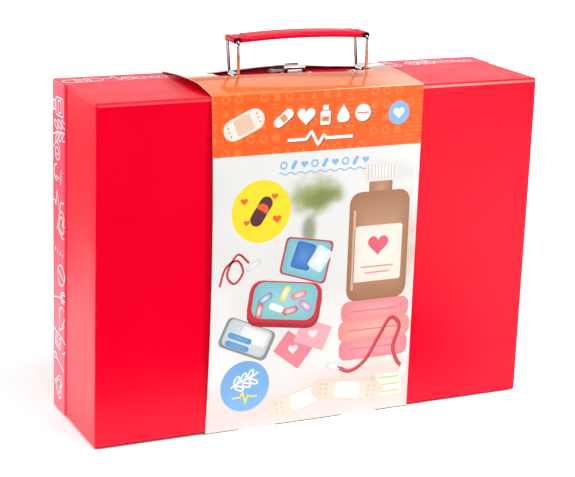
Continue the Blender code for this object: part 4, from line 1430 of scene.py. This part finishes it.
def header_print(art):
    """White motifs with a plum shade on the orange header, a cream plaster and a blue spot."""
    shade = (0.55, -0.5)
    motifs = (
        (spun(stadium(15, 6.4), 38), (-25, 204)),
        (heart(12.5), (-9.5, 204)),
        (box_outline(3.6, 4.6, 1.2), (4, 202.6)),
        (box_outline(2.1, 1.6, 0.5), (4, 209.2)),
        (drop(12.5), (16.5, 205.2)),
        (circle(0, 0, 5.6), (30.5, 204.4)),
    )
    for outline, place in motifs:
        art.patch(outline + shade, place, PLUM, 1)
        art.patch(outline, place, INK_WHITE, 2)
    art.patch(box_outline(2.1, 2.1, 0.4), (-25, 204), tint(255, 150, 90), 3, turn=38)
    art.patch(box_outline(2.4, 1.5, 0.3), (4, 201.9), MOTIF_ORANGE, 3)
    art.patch(stadium(8.4, 0.9), (30.5, 204.4), MOTIF_ORANGE, 3)
    beat = ((-9, 189.6), (-5.5, 194.6), (-0.5, 185.4), (3.2, 191.8), (5.4, 189.6))
    pulse = open_line((-22, 189.6), *beat, (24, 189.6))
    art.stroke(pulse + shade, PLUM, 1, 2.1)
    art.stroke(pulse, INK_WHITE, 2, 2.1)
    tones = (tint(250, 240, 226), tint(255, 250, 240), tint(244, 205, 176), tint(222, 178, 150))
    hole = (0.75, (-10.6, 10.6), 2.8, 12)
    plaster(art, (-52, 201.4), 24, 1, 29, (6, 5.4, 1), hole, tones)
    art.patch(circle(0, 0, 7.6, 40), (56.5, 202.8), SKY, 1)
    art.patch(heart(8.2), (56.5, 202.6), INK_WHITE, 2)


def caption_print(art):
    """A row of light blue beads and waves under the header."""
    for number, x in enumerate(np.linspace(-24, 34, 9)):
        if number % 3 == 0:
            art.stroke(circle(x, 173.6, 2.1, 20), SKY, 1, 1.1, True)
        elif number % 3 == 1:
            art.patch(stadium(6.4, 2.5), (x, 173.6), SKY, 1, turn=62)
        else:
            art.patch(heart(5), (x, 173.4), SKY, 1)
    wave_x = np.linspace(-27, 37, 80)
    wave = np.stack([wave_x, 168.2 + 0.7 * np.sin(wave_x * 0.9)], -1)
    art.stroke(wave, SKY, 1, 0.8)


def spot_print(art):
    """The yellow spot with a plum capsule and the blue spot with a white sprig."""
    yellow_spot = (-38.5, 145)
    art.patch(circle(0, 0, 20.4, 60), yellow_spot, YELLOW, 1)
    art.patch(stadium(21, 9), yellow_spot, PLUM, 2, turn=58)
    half = np.concatenate([stadium(10.6, 9)[:9], [(0.4, 4.5), (0.4, -4.5)]])
    art.patch(half, yellow_spot, SPOT_ORANGE, 3, turn=58)
    for x, z, width in ((-50.5, 152, 5), (-27.5, 139, 6), (-48.5, 138, 4.2), (-29.5, 154, 4.6)):
        art.patch(heart(width), (x, z), SPOT_ORANGE, 2)
    art.patch(circle(0, 0, 17.2, 60), (-46.5, 29), SPOT_BLUE, 3)
    art.drawing(SPRIG, (-46.5, 32.5), 15, 20, INK_WHITE, 4, 1.1)
    art.drawing(PULSE, (-46.5, 21.5), 11, 0, YELLOW, 4, 1.0)


def flowing_line(*points, steps=8):
    """A smooth curve through points: cubics whose slopes come from the neighbouring points."""
    points = np.array(points, float)
    slopes = np.gradient(points, axis=0)
    t = np.linspace(0, 1, steps + 1)[:-1, None]
    rise = 3 * t**2 - 2 * t**3
    parts = []
    for k in range(len(points) - 1):
        bend = (t**3 - 2 * t**2 + t) * slopes[k] + (t**3 - t**2) * slopes[k + 1]
        parts.append((1 - rise) * points[k] + rise * points[k + 1] + bend)
    return np.concatenate(parts + [points[-1:]])


def bottle_print(art):
    """A large amber bottle with a ribbed cap and a label with a heart."""
    glass = tint(168, 112, 76)
    art.patch(box_outline(8.5, 9, 2), (46, 154), glass, 1, tint(200, 150, 116))
    art.patch(box_outline(22, 37, 8), (46, 115), glass, 2, tint(214, 166, 130))
    art.patch(box_outline(11.5, 6.5, 1.6), (46, 165), tint(236, 230, 222), 2, WHITE)
    for x in np.linspace(36.5, 55.5, 9):
        art.stroke(open_line((x, 160), (x, 170)), tint(204, 196, 188), 3, 0.6)
    art.patch(box_outline(17.5, 19, 2), (46, 110), tint(246, 234, 220), 3, tint(253, 248, 240))
    art.patch(heart(15), (46, 115), tint(236, 96, 112), 4)
    for z, half in ((101, 12), (97, 9)):
        art.stroke(open_line((46 - half, z), (46 + half, z)), tint(236, 150, 132), 4, 1.0)
    art.stroke(open_line((28, 86), (28, 140)), tint(226, 184, 150), 3, 1.8)


def towels_print(art):
    """A pile of folded towels with a red skipping cord over it."""
    for z, half, level, colour, pale in (
        (71, 25, 3, tint(240, 138, 146), tint(250, 170, 172)),
        (58, 26.5, 5, tint(246, 150, 142), tint(252, 186, 176)),
        (45, 25.5, 4, tint(236, 132, 144), tint(248, 168, 176)),
    ):
        art.patch(box_outline(half, 7.4, 5.5), (46, z), colour, level, pale)
        fold = open_line((46 - half + 7, z), (46 + half - 8, z))
        art.stroke(fold, tint(224, 112, 126), 6.5, 0.7)
    bight = ((50, 52), (58, 64), (65, 58), (61, 44))
    cord = flowing_line((20, 34), (29, 30), (40, 36), *bight, (64, 34), (68, 29))
    art.stroke(cord, tint(198, 30, 50), 8, 2.6)
    art.stroke(cord + (-0.3, 0.4), tint(232, 84, 96), 9, 0.7)
    for place, turn in (((17, 35), -16), ((69, 26), 70)):
        art.patch(stadium(11, 5), place, tint(214, 222, 226), 9, WHITE, turn)


def plasters_print(art):
    """Two large plasters and a rolled bandage along the foot of the picture."""
    tones = (tint(240, 208, 190), tint(248, 222, 206), tint(252, 238, 226), tint(218, 176, 152))
    hole = (0.7, (-20, -16, 16, 20), 3.4, 10)
    for place, turn, level in (((-4, 15), 14, 4), ((28, 17), -9, 7)):
        plaster(art, place, turn, level, 54, (9, 5.6, 1.2), hole, tones)
    art.patch(box_outline(11, 8, 2.5), (58, 17), tint(244, 232, 216), 4, tint(253, 246, 236))
    art.patch(oval(0, 0, 3.4, 8), (47, 17), tint(226, 208, 188), 5, tint(196, 170, 150))
    for z in (12, 17, 22):
        art.stroke(open_line((51, z), (67, z)), tint(190, 214, 150), 6, 1.3)


def dish_print(art):
    """A red-rimmed teal dish of capsules in front of a folded teal cloth with a red hem."""
    cloth = rounded_loop(np.array([(-20, 127), (14, 121), (8, 92), (-25, 103)], float), 3, 5)
    middle = cloth.mean(0)
    cloth = cloth - middle
    art.patch(cloth, middle, tint(204, 52, 64), 1)
    art.patch(cloth * 0.92, middle, tint(118, 196, 208), 2, tint(176, 224, 230))
    art.patch(box_outline(7, 9, 2), (-8, 113), tint(52, 112, 196), 3, tint(92, 150, 216), -18)
    art.patch(box_outline(6, 8, 2), (4, 110), tint(222, 238, 244), 3.6, WHITE, -34)
    dish = spun(box_outline(26, 14, 8), -8)
    art.patch(dish, (-20, 80), tint(176, 22, 38), 4)
    art.patch(dish, (-20, 83), tint(214, 34, 50), 5)
    art.patch(dish * 0.88, (-20, 83.8), tint(128, 200, 208), 6, tint(168, 222, 228))
    capsules = (
        ((-34, 87), 30, tint(74, 134, 206)),
        ((-26, 80), -24, tint(250, 250, 250)),
        ((-10, 87), 12, tint(238, 92, 110)),
        ((-20, 89), 64, YELLOW),
        ((-5, 79), -40, tint(196, 120, 190)),
        ((-38, 79), 80, CAPSULE_RED),
        ((-16, 77), 10, CAPSULE_RED),
    )
    for number, (place, turn, colour) in enumerate(capsules):
        level = 7 + number * 0.4
        art.patch(stadium(11, 4.6), place, colour, level, tint(255, 250, 250), turn)


def still_life_print(art):
    """Generic care things in the photograph's colours and sizes, each in a place of its own."""
    bottle_print(art)
    towels_print(art)
    plasters_print(art)
    dish_print(art)
    loop = ((-54, 114), (-50, 106), (-56, 99), (-61, 106))
    coil = flowing_line((-66, 98), (-62, 110), *loop, (-54, 118), (-46, 112))
    art.stroke(coil, tint(206, 30, 46), 1, 1.5)
    art.patch(stadium(12, 4), (-43, 110), tint(216, 222, 226), 2, WHITE, 30)
    tin = spun(box_outline(18.5, 10.5, 4), -24)
    art.patch(tin, (-46, 61), tint(140, 148, 152), 1)
    art.patch(tin * 0.88, (-46, 61.6), tint(206, 214, 216), 2, tint(232, 236, 236))
    art.patch(box_outline(10, 5, 1.5), (-41, 62), tint(240, 240, 236), 3, WHITE, -24)
    for place, level in (((-51, 62), 4), ((-53, 57), 5)):
        art.patch(stadium(18, 3.8), place, tint(84, 154, 216), level, tint(116, 180, 230), -24)
    for place, turn, level, colour in (
        ((-13, 50), -38, 1, tint(240, 134, 150)),
        ((1, 59), -22, 3, tint(250, 176, 186)),
    ):
        art.patch(box_outline(11.5, 8.5, 1), place, colour, level, turn=turn)
        art.patch(heart(7), place, tint(255, 232, 236), level + 1)


def back_print(art):
    """A plain grid of line drawings in orange and blue on the sleeve's back."""
    for row in range(5):
        for column in range(4):
            doodle = DOODLES[(row * 5 + column * 7) % len(DOODLES)]
            colour = tint(255, 110, 44) if (row + column) % 2 else SPOT_BLUE
            place = (-52 + column * 34.6, 26 + row * 33)
            art.drawing(doodle, place, 17, 20 * (row - column), colour, 1, 1.0)


def prints(look):
    """The print on the sleeve's front and the one on its back."""
    front = Print(-SLEEVE_FACE, -1)
    for fill in (header_print, caption_print, spot_print, still_life_print):
        fill(front)
    front.finish("sleeve_front_print", look, "sleeve_front_half")
    back = Print(SLEEVE_FACE, 1)
    back_print(back)
    back.finish("sleeve_back_print", look, "sleeve_back_half")


def keep_nodes(names, look):
    """Give carried-over nodes their finish."""
    for name in names:
        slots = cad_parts[name].data.materials
        slots.clear()
        slots.append(look)


def aimed(place, way):
    """The matrix of a camera or lamp at a place, with its -Z along a direction and its Y up."""
    return Matrix.Translation(place) @ Vector(way).to_track_quat("-Z", "Y").to_matrix().to_4x4()


def camera():
    """The photograph's view: the camera's azimuth and elevation from the case, and its roll."""
    azimuth, elevation, roll = np.radians((CAMERA_AZIMUTH, CAMERA_ELEVATION, CAMERA_ROLL)).tolist()
    flat = math.cos(elevation)
    ahead = (-math.sin(azimuth) * flat, math.cos(azimuth) * flat, -math.sin(elevation))
    data = bpy.data.cameras.new("camera")
    data.lens = CAMERA_LENS
    data.sensor_width = 36
    made = bpy.data.objects.new("camera", data)
    made.matrix_world = aimed(CAMERA_PLACE, ahead) @ Matrix.Rotation(roll, 4, "Z")
    bpy.context.collection.objects.link(made)
    bpy.context.scene.camera = made


def lamp(name, place, size, power, mirrored):
    """A square soft box that faces the case, shown in mirrors or not."""
    data = bpy.data.lights.new(name, "AREA")
    data.size = size
    data.energy = power
    made = bpy.data.objects.new(name, data)
    made.matrix_world = aimed(place, np.array(LAMP_TARGET) - place)
    made.visible_glossy = mirrored
    bpy.context.collection.objects.link(made)


def floor_finish():
    """A pale floor that glows to the camera, and in gloss is dim ahead and bright far behind."""
    constants = {"Roughness": 0.9, "Specular IOR Level": 0.0, "Emission Strength": 1.0}
    recipe = Recipe("pale_floor", constants)
    seen = recipe.ray("Is Camera Ray")
    mirrored = recipe.ray("Is Glossy Ray")
    bright = (recipe.x + recipe.y * 0.33).step(0.08, 0.16)
    bright = bright * (1 - 0.6 * (-recipe.y).step(0.45, 1.0))
    ahead = (-recipe.y).step(0.02, 0.18) * (1 - 0.85 * bright)
    behind = recipe.y.step(0.06, 0.60) * 0.70
    dim = (1 - seen) * ahead.most(mirrored * behind)
    pale = recipe.mix(recipe.noise(3, 2), tint(247, 247, 247), tint(249, 249, 249))
    recipe.feed("Base Color", recipe.mix(dim, pale, tint(24, 24, 24)))
    beside = (recipe.x.size() - BASE_HIGH[0]).most(recipe.y.size() - STRIP_HIGH[1])
    clear = beside.step(-1 * MM, 0.6 * MM)
    reach = recipe.distance(recipe.x, recipe.y)
    horizon = seen * (FLOOR_GLOW * clear + reach.step(0.45, 1.8) * 0.8)
    far = mirrored * recipe.y.step(0.9, 1.5) * FAR_FLOOR_GLOW
    near = mirrored * (1 - recipe.y.step(0.0, 0.40)) * (-recipe.x).step(0.12, 0.20)
    glow = horizon + far + near * 0.7
    recipe.feed("Emission Color", recipe.vector(glow, glow, glow))
    return recipe.material


def sky():
    """White to the camera, even to the case, and a room in gloss that is bright behind the case.

    The room is brightest along its foot, with a pale screen halfway up, and dim in front.
    """
    world = bpy.data.worlds.new("studio")
    bpy.context.scene.world = world
    world.use_nodes = True
    nodes = Nodes(world.node_tree)
    background = world.node_tree.nodes["Background"]
    background.inputs["Color"].default_value = WHITE
    seen = nodes.ray("Is Camera Ray")
    mirrored = nodes.ray("Is Glossy Ray")
    way = nodes.node("ShaderNodeTexCoord", {}, {}, "Generated")
    height = nodes.part(way, "Z")
    back = nodes.part(way, "Y").step(0.10, 0.75)
    low = 1 - height.step(0.08, 0.16)
    screen = height.step(0.19, 0.31) * (1 - height.step(0.52, 0.66))
    room = back * (low * FOOT_OF_ROOM + BACK_OF_ROOM + screen * PALE_SCREEN) + FRONT_OF_ROOM
    strength = mirrored * room + (1 - mirrored) * WORLD_LIGHT
    strength = seen + (1 - seen) * strength
    world.node_tree.links.new(strength.link, background.inputs["Strength"])


def studio():
    """The floor, the world and the soft boxes."""
    mesh = bpy.data.meshes.new("floor")
    half = FLOOR_SIZE / 2
    corners = [(-half, -half, 0), (half, -half, 0), (half, half, 0), (-half, half, 0)]
    mesh.from_pydata(corners, [], [(0, 1, 2, 3)])
    mesh.materials.append(floor_finish())
    made = bpy.data.objects.new("floor", mesh)
    bpy.context.collection.objects.link(made)
    sky()
    for settings in LAMPS:
        lamp(*settings)


camera()
studio()
# The last argument lightens the side walls behind the seam as a painted sheen: none on the base,
# some on the lid
paper = wrapped_paper("red_wrap_paper", 0.28, tint(252, 0, 43), tint(246, 0, 40), 0.0)
lid_paper = wrapped_paper("printed_lid_paper", 0.40, tint(251, 44, 82), tint(245, 36, 74), 0.20)
teal = teal_paper()
wire_steel = plated_steel("nickel_plate_wire", 0.04, 0.0)
pressed_steel = plated_steel("nickel_plate_pressed", 0.03, 0.85)
zinc_plate = zinc()
shift = STIRRUP_HEIGHT * math.sin(HANDLE_LEAN)
bores = [limits(node)[1][0] - WIRE_RADIUS + shift for node in ("stirrup_left", "stirrup_right")]
bore_z = TOP + BAR_HEIGHT + STIRRUP_HEIGHT * math.cos(HANDLE_LEAN) + ROLL_SHIFT
plastic = grip_plastic(bores, bore_z)
print_look = sleeve_print()
card_inside = plain_card("sleeve_inner_card", CARD_GREY, tint(176, 166, 156))
card_edge = plain_card("sleeve_cut_edge", tint(238, 216, 198), tint(222, 196, 178))
# Dark brown for the underside's cut edges: card, darkened as a painted shadow of the gap under the
# sleeve's front
foot_card_and_shadow = plain_card("sleeve_foot_card_and_shadow", tint(112, 76, 64), tint(84, 54, 46))
white_ink = ink("drawing_ink", 0.36)
print_ink = ink("sleeve_ink", 0.30)
cloth = book_cloth()

base_box = tray(BASE_HIGH[1], FRONT, FRONT_ROUND, RIM_ROUND, RIM_ROUND, front=True)
lid_box = tray(LID_LOW[1], BACK, BACK_ROUND, LID_RIM_DEPTH, LID_RIM_INSET)
piece("base_box_wrap", base_box, paper, "base", ("base_shell",))
piece("lid_box_wrap", lid_box, lid_paper, "lid", ("lid_shell",))
lid_drawings(white_ink)
sleeve_pieces((print_look, card_inside, card_edge), foot_card_and_shadow)
prints(print_ink)
handle_pieces(wire_steel, plastic)
metal_pieces(pressed_steel)
hinge_strip(cloth)
keep_nodes(["base_neck", "base_lining_sheet", "lid_lining_sheet"], teal)
for kind, count in FASTENERS:
    keep_nodes([f"{kind}_washer_{number}" for number in range(1, count + 1)], zinc_plate)

bpy.context.scene.view_settings.view_transform = "Standard"
